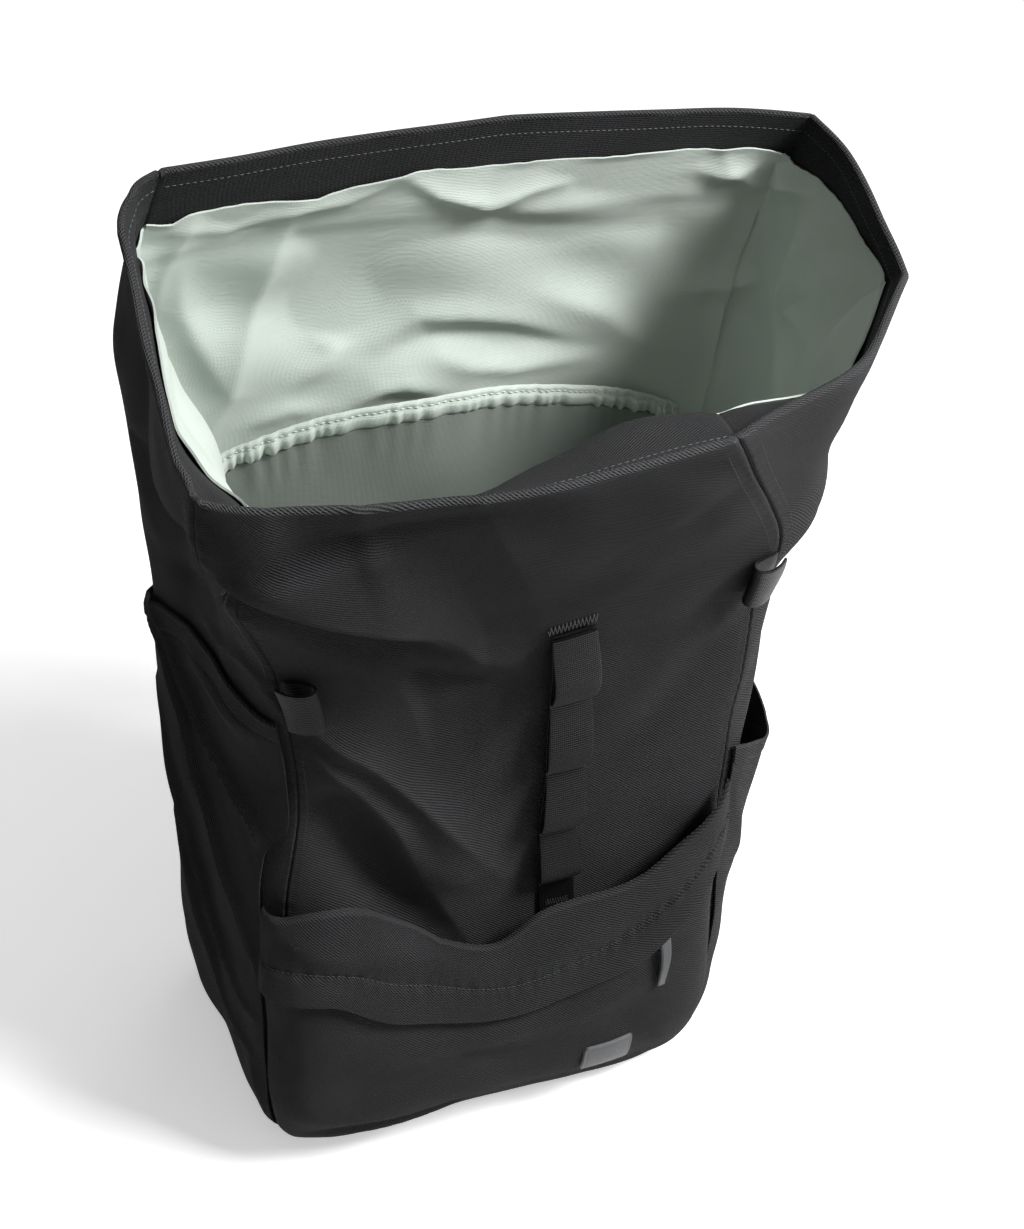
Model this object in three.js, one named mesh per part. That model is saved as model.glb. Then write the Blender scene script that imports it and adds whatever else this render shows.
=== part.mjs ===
// Rolltop backpack, standing open and empty on its base.
// Millimetres, +Z up, the front faces -Y, the origin is the middle of the base's underside.
// Every panel follows one shell surface: stations run round the bag, levels run from base to rim.

import * as THREE from 'three';

// Shell: overall sizes of the body and of the open mouth
const RIM_HEIGHT = 600;
const BODY_WIDTH = 340;
const BODY_DEPTH = 180;
const MOUTH_WIDTH = 362;
const MOUTH_DEPTH = 232;

// Cloth and board thicknesses, and the clearances between layers
const FABRIC = 2;
const LINING = 1.2;
const BASE_BOARD = 3;
const CLEAR = 0.3;
const SEAT = 0.9;

// Turned-in facing at the mouth and the device sleeve inside the back
const FACING_HEIGHT = 30;
const SLEEVE_HEIGHT = 446;
const SLEEVE_STAND = 20;
const SLEEVE_CURVE = 42;
const SLEEVE_INSET = 16;
const HEM_HEIGHT = 12;
const HEM_THICKNESS = 4;

// Front pocket
const POCKET_HEIGHT = 280;
const POCKET_STAND = 22;
const FLAP_LAP = 14;
const ZIP_WIDTH = 9;
const ZIP_THICKNESS = 1.2;
const PULL_LENGTH = 46;
const PULL_WIDTH = 8;
const PULL_THICKNESS = 2;
const PULL_SHARE = 0.175;
const PULL_DROP = 6;
const LABEL_WIDTH = 34;
const LABEL_HEIGHT = 25;
const LABEL_THICKNESS = 1.4;
const LABEL_SHARE = 0.275;
const LABEL_LIFT = 70;

// Side pockets
const SIDE_POCKET_HEIGHT = 372;
const SIDE_POCKET_STAND = 1.6;
const SIDE_POCKET_GAPE = 18;
const SEAM_INSET = 0.05;
const SHOULDER_RUN = 30;

// Webbing
const WEBBING = 25;
const WEBBING_THICKNESS = 1.5;
const DAISY_TOP = 448;
const DAISY_LIFT = 8.5;
const TAB_LENGTH = 40;
const TAB_REACH = 17;
const TAB_GAP = 6.5;
const TAB_HEIGHT = { left: 412, right: 453 };

// Back: padding, shoulder straps and grab handle
const BACK_PAD_HEIGHT = 455;
const BACK_PAD_THICKNESS = 9;
const STRAP_WIDTH = 62;
const STRAP_THICKNESS = 9;
const STRAP_ANCHOR_HEIGHT = 0.79 * RIM_HEIGHT;
const STRAP_BOW = 72;
const ADJUSTER_THICKNESS = 5;
const HANDLE_SPAN = 96;
const HANDLE_RISE = 30;
const HANDLE_HEIGHT = 0.87 * RIM_HEIGHT;
const HANDLE_THICKNESS = 4;

// Station lines round the bag, clockwise from above
const STATION_NAMES = ['backLeft', 'back', 'backRight', 'right', 'frontRight', 'front', 'frontLeft', 'left'];
const STATION = Object.fromEntries(STATION_NAMES.map((name, order) => [name, order]));
const STATION_COUNT = STATION_NAMES.length;
const STATION_RUN = 115;

// Station at the middle of each side, measured forward of the origin
const SIDE_FORWARD = { left: 0, right: 15 };

// Body sections. level: share of RIM_HEIGHT. back, front, crown: shares of BODY_DEPTH.
// The rest are shares of half BODY_WIDTH: at the back seams, the side middles and the front seams.
const SECTIONS = [
  {
    level: 0, back: 0.42, front: -0.44, crown: 0.02,
    backLeft: 0.86, backRight: 0.88, sideLeft: 0.85, sideRight: 0.93, frontLeft: 0.72, frontRight: 0.74,
  },
  {
    level: 0.035, back: 0.46, front: -0.48, crown: 0.03,
    backLeft: 0.91, backRight: 0.95, sideLeft: 0.9, sideRight: 1.0, frontLeft: 0.77, frontRight: 0.82,
  },
  {
    level: 0.13, back: 0.47, front: -0.5, crown: 0.04,
    backLeft: 0.92, backRight: 0.97, sideLeft: 0.93, sideRight: 1.03, frontLeft: 0.79, frontRight: 0.83,
  },
  {
    level: 0.27, back: 0.47, front: -0.48, crown: 0.03,
    backLeft: 0.92, backRight: 0.97, sideLeft: 0.93, sideRight: 1.03, frontLeft: 0.79, frontRight: 0.8,
  },
  {
    level: 0.4, back: 0.47, front: -0.46, crown: 0.02,
    backLeft: 0.925, backRight: 0.97, sideLeft: 0.93, sideRight: 1.01, frontLeft: 0.78, frontRight: 0.77,
  },
  {
    level: 0.52, back: 0.46, front: -0.46, crown: 0.03,
    backLeft: 0.935, backRight: 0.97, sideLeft: 0.93, sideRight: 0.99, frontLeft: 0.735, frontRight: 0.745,
  },
  {
    level: 0.64, back: 0.46, front: -0.48, crown: 0.06,
    backLeft: 0.96, backRight: 0.98, sideLeft: 0.93, sideRight: 0.97, frontLeft: 0.765, frontRight: 0.725,
  },
  {
    level: 0.72, back: 0.455, front: -0.52, crown: 0.09,
    backLeft: 0.98, backRight: 0.99, sideLeft: 0.94, sideRight: 0.97, frontLeft: 0.81, frontRight: 0.7,
  },
  {
    level: 0.79, back: 0.45, front: -0.6, crown: 0.1,
    backLeft: 1.0, backRight: 1.0, sideLeft: 0.94, sideRight: 0.99, frontLeft: 0.885, frontRight: 0.66,
  },
  {
    level: 0.86, back: 0.44, front: -0.71, crown: 0.1,
    backLeft: 1.01, backRight: 1.01, sideLeft: 0.96, sideRight: 1.0, frontLeft: 0.96, frontRight: 0.53,
  },
];

// Open mouth. across: share of half MOUTH_WIDTH, deep: share of MOUTH_DEPTH, level: share of RIM_HEIGHT.
const MOUTH = [
  { at: STATION.backLeft, across: -0.856, deep: 0.198, level: 1.025 },
  { at: STATION.back, across: 0.100, deep: 0.267, level: 1.033 },
  { at: STATION.backRight, across: 1.017, deep: 0.228, level: 1.020 },
  { at: STATION.right, across: 0.884, deep: -0.388, level: 1.000 },
  { at: STATION.frontRight, across: 0.193, deep: -0.767, level: 0.983 },
  { at: STATION.front, across: -0.414, deep: -0.806, level: 0.972 },
  { at: STATION.frontLeft, across: -0.983, deep: -0.668, level: 0.968 },
  { at: STATION.left, across: -0.983, deep: 0.078, level: 1.000 },
];

// Main folds of the shell, each a straight line in stations and levels.
// width: share of BODY_WIDTH; depth: share of BODY_DEPTH, positive where the cloth stands out.
const FOLDS = [
  { name: 'collar roll', station: 6.05, level: 0.865, toStation: 5.35, toLevel: 0.755, width: 0.060, depth: 0.10 },
  { name: 'pinch under the roll', station: 6.30, level: 0.790, toStation: 5.45, toLevel: 0.700, width: 0.068, depth: -0.12 },
  { name: 'side roll', station: 7.50, level: 0.750, toStation: 6.30, toLevel: 0.850, width: 0.055, depth: 0.05 },
  { name: 'pinch under the side roll', station: 7.60, level: 0.690, toStation: 6.50, toLevel: 0.770, width: 0.055, depth: -0.06 },
  { name: 'long diagonal', station: 5.80, level: 0.600, toStation: 5.25, toLevel: 0.400, width: 0.045, depth: 0.04 },
  { name: 'hollow beside the diagonal', station: 5.80, level: 0.520, toStation: 5.35, toLevel: 0.330, width: 0.060, depth: -0.07 },
  { name: 'right corner of the collar', station: 3.48, level: 1.020, toStation: 3.60, toLevel: 0.780, width: 0.110, depth: 0.15 },
];

// Front pocket's two free edges, shares of POCKET_HEIGHT, at stations from right to left
const POCKET_EDGES = [
  { station: 4.00, top: 0.97, flap: 0.80 },
  { station: 4.25, top: 0.88, flap: 0.67 },
  { station: 4.50, top: 0.79, flap: 0.56 },
  { station: 4.90, top: 0.745, flap: 0.49 },
  { station: 5.13, top: 0.68, flap: 0.485 },
  { station: 5.50, top: 0.77, flap: 0.55 },
  { station: 5.80, top: 0.89, flap: 0.655 },
  { station: 6.13, top: 0.95, flap: 0.72 },
];

// Side pockets' top edges: shares of SIDE_POCKET_HEIGHT from the back seam to the front seam
const SIDE_EDGE = {
  left: [{ share: 0, top: 0.93 }, { share: 0.5, top: 1.02 }, { share: 1, top: 1.04 }],
  right: [{ share: 0, top: 0.76 }, { share: 0.5, top: 0.67 }, { share: 1, top: 0.79 }],
};

// Long pleats of the left side pocket. share: 0 at the back seam, 1 at the front seam.
// level: share of the pocket's height at that place.
const PLEATS = [
  { share: 0.12, level: 0.95, toShare: 0.72, toLevel: 0.42 },
  { share: 0.08, level: 0.85, toShare: 0.62, toLevel: 0.22 },
  { share: 0.06, level: 0.60, toShare: 0.50, toLevel: 0.10 },
];
const PLEAT_LIFT = 4;
const PLEAT_WIDTH = 0.055;

// Bar tacks of the daisy chain from its top down: share of DAISY_TOP, with the strap's station
const TACKS = [
  { height: 1.000, station: 4.88 },
  { height: 0.846, station: 4.86 },
  { height: 0.708, station: 4.84 },
  { height: 0.586, station: 4.82 },
  { height: 0.490, station: 4.80 },
];
const DAISY_END = { height: 0.412, station: 4.79 };

// Rows and columns that every layer of the shell shares
const LEVELS = [
  0.035, 0.085, 0.14, 0.20, 0.27, 0.34, 0.40, 0.46, 0.52, 0.575, 0.62, 0.66,
  0.70, 0.735, 0.77, 0.80, 0.83, 0.86, 0.89,
];
const FACING_SHARE = FACING_HEIGHT / RIM_HEIGHT;
const COLUMNS = {
  front: [0, 0.05, 0.12, 0.20, 0.30, 0.40, 0.50, 0.60, 0.70, 0.80, 0.88, 0.95, 1],
  side: [0, 0.08, 0.18, 0.34, 0.50, 0.66, 0.82, 0.92, 1],
  back: [0, 0.07, 0.15, 0.28, 0.50, 0.72, 0.85, 0.93, 1],
};

const black = (roughness, lightness = 0.011) => new THREE.MeshStandardMaterial({
  color: new THREE.Color(lightness, lightness, lightness * 1.08), roughness, metalness: 0,
});
const MATERIAL = {
  twill: black(0.85),
  webbing: black(0.55, 0.008),
  plastic: black(0.4, 0.01),
  mesh: black(0.9, 0.014),
  lining: new THREE.MeshStandardMaterial({ color: 0x9db3a2, roughness: 0.8, metalness: 0 }),
  leather: new THREE.MeshStandardMaterial({ color: 0x4a4b4c, roughness: 0.6, metalness: 0 }),
};

const lerp = (a, b, t) => a + (b - a) * t;
const clamp01 = (t) => Math.min(1, Math.max(0, t));
const smooth = (t) => { const c = clamp01(t); return c * c * (3 - 2 * c); };

// Smooth curve through (knots, values): cubic Hermite with finite-difference slopes
function spline(knots, values, x) {
  const last = knots.length - 1;
  let i = 0;
  while (i < last - 1 && x > knots[i + 1]) i += 1;
  const slope = (k) => {
    const a = Math.max(0, k - 1);
    const b = Math.min(last, k + 1);
    return (values[b] - values[a]) / (knots[b] - knots[a]);
  };
  const span = knots[i + 1] - knots[i];
  const t = (x - knots[i]) / span;
  const t2 = t * t;
  const t3 = t2 * t;
  return (2 * t3 - 3 * t2 + 1) * values[i] + (t3 - 2 * t2 + t) * span * slope(i)
    + (3 * t2 - 2 * t3) * values[i + 1] + (t3 - t2) * span * slope(i + 1);
}

// Plan position of each station in each row: eight points a row, the mouth last
const rowLevels = [...SECTIONS.map((row) => row.level), 1];
const stationRows = Array.from({ length: STATION_COUNT }, () => ({ x: [], y: [] }));
for (const row of SECTIONS) {
  const half = BODY_WIDTH / 2;
  const front = row.front * BODY_DEPTH;
  const back = row.back * BODY_DEPTH;
  const plan = [
    [-row.backLeft * half, back], [0, back], [row.backRight * half, back],
    [row.sideRight * half, -SIDE_FORWARD.right], [row.frontRight * half, front],
    [(row.frontRight - row.frontLeft) * half / 2, front - row.crown * BODY_DEPTH],
    [-row.frontLeft * half, front], [-row.sideLeft * half, -SIDE_FORWARD.left],
  ];
  plan.forEach(([x, y], s) => {
    stationRows[s].x.push(x);
    stationRows[s].y.push(y);
  });
}
for (const corner of MOUTH) {
  stationRows[corner.at].x.push(corner.across * MOUTH_WIDTH / 2);
  stationRows[corner.at].y.push(corner.deep * MOUTH_DEPTH);
}

// Smooth shell before its folds: round stations by a closed Catmull-Rom curve, sharper at the mouth
function plainShell(station, level) {
  const wrapped = ((station % STATION_COUNT) + STATION_COUNT) % STATION_COUNT;
  const i = Math.floor(wrapped);
  const t = wrapped - i;
  const corners = [-1, 0, 1, 2].map((k) => {
    const s = (i + k + STATION_COUNT) % STATION_COUNT;
    return new THREE.Vector3(
      spline(rowLevels, stationRows[s].x, level),
      spline(rowLevels, stationRows[s].y, level),
      MOUTH[s].level - 1,
    );
  });
  const curved = (axis) => {
    const [a, b, c, d] = corners.map((corner) => corner[axis]);
    return 0.5 * (2 * b + (c - a) * t + (2 * a - 5 * b + 4 * c - d) * t * t
      + (3 * b - a - 3 * c + d) * t * t * t);
  };
  const round = lerp(0.8, 0.45, smooth((level - 0.75) / 0.25));
  const mix = (axis) => lerp(lerp(corners[1][axis], corners[2][axis], t), curved(axis), round);
  const rise = mix('z') * smooth((level - 0.55) / 0.45);
  return new THREE.Vector3(mix('x'), mix('y'), (level + rise) * RIM_HEIGHT);
}

// Height of a smooth ridge that runs along a straight line: a bell across it, fading at both ends
function ridge(alongX, alongY, fromX, fromY, toX, toY, width) {
  const dx = toX - fromX;
  const dy = toY - fromY;
  const share = ((alongX - fromX) * dx + (alongY - fromY) * dy) / (dx * dx + dy * dy);
  const held = clamp01(share);
  const away = Math.hypot(alongX - fromX - dx * held, alongY - fromY - dy * held) / width;
  return Math.exp(-away * away) * Math.sin(Math.PI * lerp(0.22, 0.78, held));
}

// Shell with its folds, pushed along the level outward direction
function shell(station, level) {
  const point = plainShell(station, level);
  const step = 0.02;
  const ahead = plainShell(station + step, level);
  const behind = plainShell(station - step, level);
  const out = new THREE.Vector3(behind.y - ahead.y, ahead.x - behind.x, 0).normalize();
  let push = 0;
  for (const fold of FOLDS) {
    push += fold.depth * BODY_DEPTH * ridge(
      station * STATION_RUN, level * RIM_HEIGHT, fold.station * STATION_RUN, fold.level * RIM_HEIGHT,
      fold.toStation * STATION_RUN, fold.toLevel * RIM_HEIGHT, fold.width * BODY_WIDTH,
    );
  }
  return point.addScaledVector(out, push);
}

// Outward normal of the shell
function outward(station, level) {
  const along = shell(station + 0.02, level).sub(shell(station - 0.02, level));
  const up = shell(station, level + 0.004).sub(shell(station, level - 0.004));
  return up.cross(along).normalize();
}

const seamGap = CLEAR / 2 / STATION_RUN;

// Point at a distance outside the shell surface (negative: inside); both edges of a seam turn alike
function layer(station, level, distance) {
  const seam = Math.round(station);
  const facing = Math.abs(station - seam) < 2 * seamGap ? seam : station;
  return shell(station, level).addScaledVector(outward(facing, level), distance);
}

// Closed wall between two grids of points, the outer one first. Columns run along stations, rows upward.
// A round wall joins its last column to its first; a floor closes its bottom with two fans.
function wallSolid(outer, inner, { round = false, floor = false } = {}) {
  const columns = outer.length;
  const rows = outer[0].length;
  const positions = [];
  const index = [];
  const add = (p) => positions.push(p.x, p.y, p.z) / 3 - 1;
  const o = outer.map((column) => column.map(add));
  const n = inner.map((column) => column.map(add));
  const face = (...corners) => index.push(...corners);
  const spans = round ? columns : columns - 1;
  for (let i = 0; i < spans; i += 1) {
    const k = (i + 1) % columns;
    for (let j = 0; j < rows - 1; j += 1) {
      face(o[i][j], o[i][j + 1], o[k][j + 1], o[i][j], o[k][j + 1], o[k][j]);
      face(n[i][j], n[k][j + 1], n[i][j + 1], n[i][j], n[k][j], n[k][j + 1]);
    }
    const top = rows - 1;
    face(o[i][top], n[k][top], o[k][top], o[i][top], n[i][top], n[k][top]);
    if (!floor) face(o[i][0], o[k][0], n[k][0], o[i][0], n[k][0], n[i][0]);
  }
  if (floor) {
    const middle = (ring) => ring.reduce((sum, column) => sum.add(column[0]), new THREE.Vector3())
      .divideScalar(columns);
    const under = add(middle(outer));
    const over = add(middle(inner));
    for (let i = 0; i < columns; i += 1) {
      const k = (i + 1) % columns;
      face(under, o[i][0], o[k][0], over, n[k][0], n[i][0]);
    }
  }
  if (!round) {
    const end = columns - 1;
    for (let j = 0; j < rows - 1; j += 1) {
      face(o[0][j], n[0][j], n[0][j + 1], o[0][j], n[0][j + 1], o[0][j + 1]);
      face(o[end][j], n[end][j + 1], n[end][j], o[end][j], o[end][j + 1], n[end][j + 1]);
    }
  }
  return solid(positions, index);
}

function solid(positions, index) {
  const geometry = new THREE.BufferGeometry();
  geometry.setAttribute('position', new THREE.Float32BufferAttribute(positions, 3));
  geometry.setIndex(index);
  geometry.computeVertexNormals();
  return geometry;
}

// Grid of points from a function of two shares
function grid(columns, rows, at) {
  return columns.map((c) => rows.map((r) => at(c, r)));
}

const shares = (count) => Array.from({ length: count + 1 }, (_, i) => i / count);

// Flat strap along a path of frames { point, side, face }, with a width and thickness at each one
function strapSolid(frames, widthAt, thicknessAt) {
  const positions = [];
  const index = [];
  frames.forEach(({ point, side, face }, i) => {
    const share = i / (frames.length - 1);
    const w = widthAt(share) / 2;
    const t = thicknessAt(share) / 2;
    for (const [a, b] of [[-w, -t], [w, -t], [w, t], [-w, t]]) {
      const p = point.clone().addScaledVector(side, a).addScaledVector(face, b);
      positions.push(p.x, p.y, p.z);
    }
  });
  const ring = 4;
  for (let i = 0; i < frames.length - 1; i += 1) {
    for (let k = 0; k < ring; k += 1) {
      const a = i * ring + k;
      const b = i * ring + (k + 1) % ring;
      index.push(a, b, b + ring, a, b + ring, a + ring);
    }
  }
  const last = (frames.length - 1) * ring;
  index.push(0, 2, 1, 0, 3, 2, last, last + 1, last + 2, last, last + 2, last + 3);
  return solid(positions, index);
}

// Frames along a smooth path, with the strap's broad face turned to the given direction
function framesAlong(points, count, faceAt) {
  const curve = new THREE.CatmullRomCurve3(points, false, 'centripetal');
  return shares(count).map((share) => {
    const tangent = curve.getTangentAt(share);
    const side = new THREE.Vector3().crossVectors(faceAt(share), tangent).normalize();
    const face = new THREE.Vector3().crossVectors(tangent, side).normalize();
    return { point: curve.getPointAt(share), side, face };
  });
}

const bag = new THREE.Group();
function addPiece(name, geometry, material) {
  const mesh = new THREE.Mesh(geometry, material);
  mesh.name = name;
  bag.add(mesh);
}

// Shell panels: four walls that meet at the seams, standing on the base board
const wallFoot = (BASE_BOARD + CLEAR) / RIM_HEIGHT;
const shellRows = [wallFoot, ...LEVELS, 1 - FACING_SHARE, 1 - FACING_SHARE / 2, 1];

function panelColumns(from, to, columns) {
  return columns.map((share) => lerp(from + seamGap, to - seamGap, share));
}
const frontColumns = panelColumns(STATION.frontRight, STATION.frontLeft, COLUMNS.front);
const rightColumns = panelColumns(STATION.backRight, STATION.frontRight, COLUMNS.side);
const leftColumns = panelColumns(STATION.frontLeft, STATION_COUNT, COLUMNS.side);
const backColumns = panelColumns(STATION.backLeft, STATION.backRight, COLUMNS.back);

function panel(columns) {
  return wallSolid(
    grid(columns, shellRows, (s, level) => layer(s, level, 0)),
    grid(columns, shellRows, (s, level) => layer(s, level, -FABRIC)),
  );
}
addPiece('front_panel', panel(frontColumns), MATERIAL.twill);
addPiece('side_panel_right', panel(rightColumns), MATERIAL.twill);
addPiece('side_panel_left', panel(leftColumns), MATERIAL.twill);
addPiece('back_panel', panel(backColumns), MATERIAL.twill);

// Base board: the flat bottom that the walls stand on
const ringColumns = [backColumns, rightColumns, frontColumns, leftColumns]
  .flatMap((columns) => columns.slice(0, -1));
addPiece('base_panel', (() => {
  const rim = ringColumns.map((s) => shell(s, wallFoot));
  const positions = [0, 0, 0, 0, 0, BASE_BOARD];
  rim.forEach((p) => positions.push(p.x, p.y, 0, p.x, p.y, BASE_BOARD));
  const index = [];
  rim.forEach((_, i) => {
    const a = 2 + 2 * i;
    const b = 2 + 2 * ((i + 1) % rim.length);
    index.push(0, a, b, 1, b + 1, a + 1, a, a + 1, b + 1, a, b + 1, b);
  });
  return solid(positions, index);
})(), MATERIAL.twill);

// Lining: a green cup inside the walls, up to the black facing
const liningSkin = FABRIC + 2 * CLEAR;
const liningFoot = BASE_BOARD + CLEAR;
const liningRows = [wallFoot, ...LEVELS, 1 - FACING_SHARE - CLEAR / RIM_HEIGHT];
addPiece('lining', (() => {
  const cup = (depth, footZ) => grid(ringColumns, liningRows, (s, level) => {
    const p = layer(s, level, -depth);
    if (level !== wallFoot) return p;
    const slope = layer(s, LEVELS[0], -depth).sub(p);
    return p.addScaledVector(slope, (footZ - p.z) / slope.z);
  });
  return wallSolid(cup(liningSkin, liningFoot), cup(liningSkin + LINING, liningFoot + LINING),
    { round: true, floor: true });
})(), MATERIAL.lining);

// Facing: the shell cloth turned in at the mouth and stitched down
const facingRows = [1 - FACING_SHARE, 1 - FACING_SHARE / 2, 1];
addPiece('mouth_facing', wallSolid(
  grid(ringColumns, facingRows, (s, level) => layer(s, level, -liningSkin)),
  grid(ringColumns, facingRows, (s, level) => layer(s, level, -liningSkin - LINING)),
  { round: true },
), MATERIAL.twill);

// Device sleeve: a slack lining sheet across the back wall with an elastic gathered hem
const sleeveFrom = STATION.backLeft + SLEEVE_INSET / STATION_RUN;
const sleeveTo = STATION.backRight - SLEEVE_INSET / STATION_RUN;
const sleeveSkin = liningSkin + LINING + SEAT;
const sleeveTop = (share) => (SLEEVE_HEIGHT - SLEEVE_CURVE * (1 - Math.sin(Math.PI * share))) / RIM_HEIGHT;
const sleeveFoot = (liningFoot + LINING + CLEAR) / RIM_HEIGHT;

function sleevePoint(share, level, depth) {
  const up = clamp01((level - sleeveFoot) / (sleeveTop(share) - sleeveFoot));
  const stand = SLEEVE_STAND * Math.sin(Math.PI * share) * smooth(up * 2.5);
  return layer(lerp(sleeveFrom, sleeveTo, share), level, -(sleeveSkin + stand + depth));
}
const sleeveColumns = shares(14);
const sleeveAt = (share, up, depth) => sleevePoint(share, lerp(sleeveFoot, sleeveTop(share), up), depth);
addPiece('laptop_sleeve', wallSolid(
  grid(sleeveColumns, shares(10), (c, r) => sleeveAt(c, r, 0)),
  grid(sleeveColumns, shares(10), (c, r) => sleeveAt(c, r, LINING)),
), MATERIAL.lining);

const hemFrom = CLEAR / RIM_HEIGHT;
const hemRise = HEM_HEIGHT / RIM_HEIGHT;
const hemAt = (share, up, depth) => sleevePoint(share, sleeveTop(share) + hemFrom + hemRise * up, depth);
const hemColumns = shares(20);
addPiece('sleeve_hem', wallSolid(
  grid(hemColumns, shares(2), (c, r) => hemAt(c, r, 0)),
  grid(hemColumns, shares(2), (c, r) => hemAt(c, r, HEM_THICKNESS * (r === 0.5 ? 0.9 : 0.5))),
), MATERIAL.lining);

// Front pocket: a gusseted lower panel and an upper panel whose free edge covers the zip
const edgeStations = POCKET_EDGES.map((row) => row.station);
const pocketEdge = (column, station) => POCKET_HEIGHT
  * spline(edgeStations, POCKET_EDGES.map((row) => row[column]), station);
const pocketFrom = edgeStations[0];
const pocketTo = edgeStations[edgeStations.length - 1];
const pocketShares = [0, 0.012, 0.045, 0.11, 0.2, 0.3, 0.4, 0.5, 0.6, 0.7, 0.8, 0.89, 0.955, 0.988, 1];
const pocketStation = (share) => lerp(pocketFrom, pocketTo, share);
const pocketTop = (share) => pocketEdge('top', pocketStation(share));
const flapEdge = (share) => pocketEdge('flap', pocketStation(share));
function pocketStand(share, height) {
  const side = 1 - Math.abs(2 * share - 1) ** 9;
  const foot = lerp(0.06, 1, smooth(height / (POCKET_HEIGHT * 0.3)));
  const mouth = lerp(1, 0.55, smooth((height / pocketTop(share) - 0.6) / 0.4));
  return SEAT + (POCKET_STAND - SEAT) * side * foot * mouth;
}
function pocketPoint(share, height, extra) {
  return layer(pocketStation(share), height / RIM_HEIGHT, pocketStand(share, height) + extra);
}
const shareWidth = (share, height, width) => {
  const step = 0.01;
  const ahead = pocketPoint(share + step, height, 0);
  return 2 * step * width / ahead.distanceTo(pocketPoint(share - step, height, 0));
};
const pocketFoot = BASE_BOARD + CLEAR;
const lowerAt = (share, up, extra) => pocketPoint(
  share, lerp(pocketFoot, flapEdge(share) + FLAP_LAP, up), extra,
);
const lowerRows = [0, 0.09, 0.24, 0.40, 0.58, 0.78, 1];
addPiece('pocket_lower', wallSolid(
  grid(pocketShares, lowerRows, (c, r) => lowerAt(c, r, FABRIC)),
  grid(pocketShares, lowerRows, (c, r) => lowerAt(c, r, 0)),
), MATERIAL.twill);

const flapClear = FABRIC + ZIP_THICKNESS + 2 * SEAT;
const upperAt = (share, up, extra) => pocketPoint(
  share, lerp(flapEdge(share), pocketTop(share), up), flapClear + extra,
);
addPiece('pocket_upper', wallSolid(
  grid(pocketShares, shares(5), (c, r) => upperAt(c, r, FABRIC)),
  grid(pocketShares, shares(5), (c, r) => upperAt(c, r, 0)),
), MATERIAL.twill);

// Zip under the upper panel's free edge, with its leather pull hanging below that edge
const zipShares = pocketShares.filter((share) => share > 0.1 && share < 0.9);
const zipRaise = FLAP_LAP - ZIP_WIDTH;
const zipAt = (share, up, extra) => pocketPoint(
  share, flapEdge(share) + zipRaise + ZIP_WIDTH * up, FABRIC + SEAT + extra,
);
addPiece('pocket_zip', wallSolid(
  grid(zipShares, shares(1), (c, r) => zipAt(c, r, ZIP_THICKNESS)),
  grid(zipShares, shares(1), (c, r) => zipAt(c, r, 0)),
), MATERIAL.webbing);

addPiece('zip_pull', (() => {
  const wide = shareWidth(PULL_SHARE, flapEdge(PULL_SHARE), PULL_WIDTH);
  const at = (side, down, extra) => pocketPoint(
    PULL_SHARE + wide * side * lerp(1, 0.7, down),
    flapEdge(PULL_SHARE) - PULL_DROP - PULL_LENGTH * down,
    FABRIC + SEAT / 2 + extra,
  );
  const sides = [-0.5, 0, 0.5];
  const downs = [1, 0.66, 0.33, 0];
  return wallSolid(grid(sides, downs, (c, r) => at(c, r, PULL_THICKNESS)),
    grid(sides, downs, (c, r) => at(c, r, 0)));
})(), MATERIAL.leather);

// Bare leather label near the pocket's lower right corner
addPiece('label_patch', (() => {
  const wide = shareWidth(LABEL_SHARE, LABEL_LIFT, LABEL_WIDTH);
  const at = (c, r, extra) => pocketPoint(
    LABEL_SHARE + wide * c, LABEL_LIFT + LABEL_HEIGHT * r, FABRIC + SEAT + extra,
  );
  const steps = [-0.5, -0.17, 0.17, 0.5];
  return wallSolid(grid(steps, steps, (c, r) => at(c, r, LABEL_THICKNESS)),
    grid(steps, steps, (c, r) => at(c, r, 0)));
})(), MATERIAL.leather);

// Side pockets: the left one lies pleated against the wall, the right one gapes at its mouth
const sidePocketRows = [0, 0.048, 0.13, 0.22, 0.31, 0.40, 0.50, 0.60, 0.70, 0.80, 0.90, 1];
function sidePocket(name, from, to, edge, gape, pleats) {
  const rowShares = edge.map((row) => row.share);
  const rowTops = edge.map((row) => row.top);
  const at = (share, up, extra) => {
    const top = SIDE_POCKET_HEIGHT * spline(rowShares, rowTops, share);
    const height = lerp(wallFoot * RIM_HEIGHT, top, up);
    let stand = SIDE_POCKET_STAND + gape * Math.sin(Math.PI * share) ** 1.3 * up ** 3;
    for (const pleat of pleats) {
      stand += PLEAT_LIFT * Math.sin(Math.PI * share)
        * ridge(share, up, pleat.share, pleat.level, pleat.toShare, pleat.toLevel, PLEAT_WIDTH);
    }
    return layer(lerp(from, to(height), share), height / RIM_HEIGHT, stand + extra);
  };
  const columns = from < to(0) ? COLUMNS.side : [...COLUMNS.side].reverse();
  addPiece(name, wallSolid(
    grid(columns, sidePocketRows, (c, r) => at(c, r, FABRIC)),
    grid(columns, sidePocketRows, (c, r) => at(c, r, 0)),
  ), MATERIAL.twill);
}
const pocketShoulder = POCKET_HEIGHT * Math.max(...POCKET_EDGES.map((row) => row.top));
const leftFront = (height) => SEAM_INSET
  + lerp(pocketTo, STATION.frontLeft, smooth((height - pocketShoulder) / SHOULDER_RUN));
sidePocket('side_pocket_left', STATION_COUNT - SEAM_INSET, leftFront, SIDE_EDGE.left, 0, PLEATS);
sidePocket('side_pocket_right', STATION.backRight + SEAM_INSET, () => STATION.frontRight - SEAM_INSET,
  SIDE_EDGE.right, SIDE_POCKET_GAPE, []);

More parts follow.
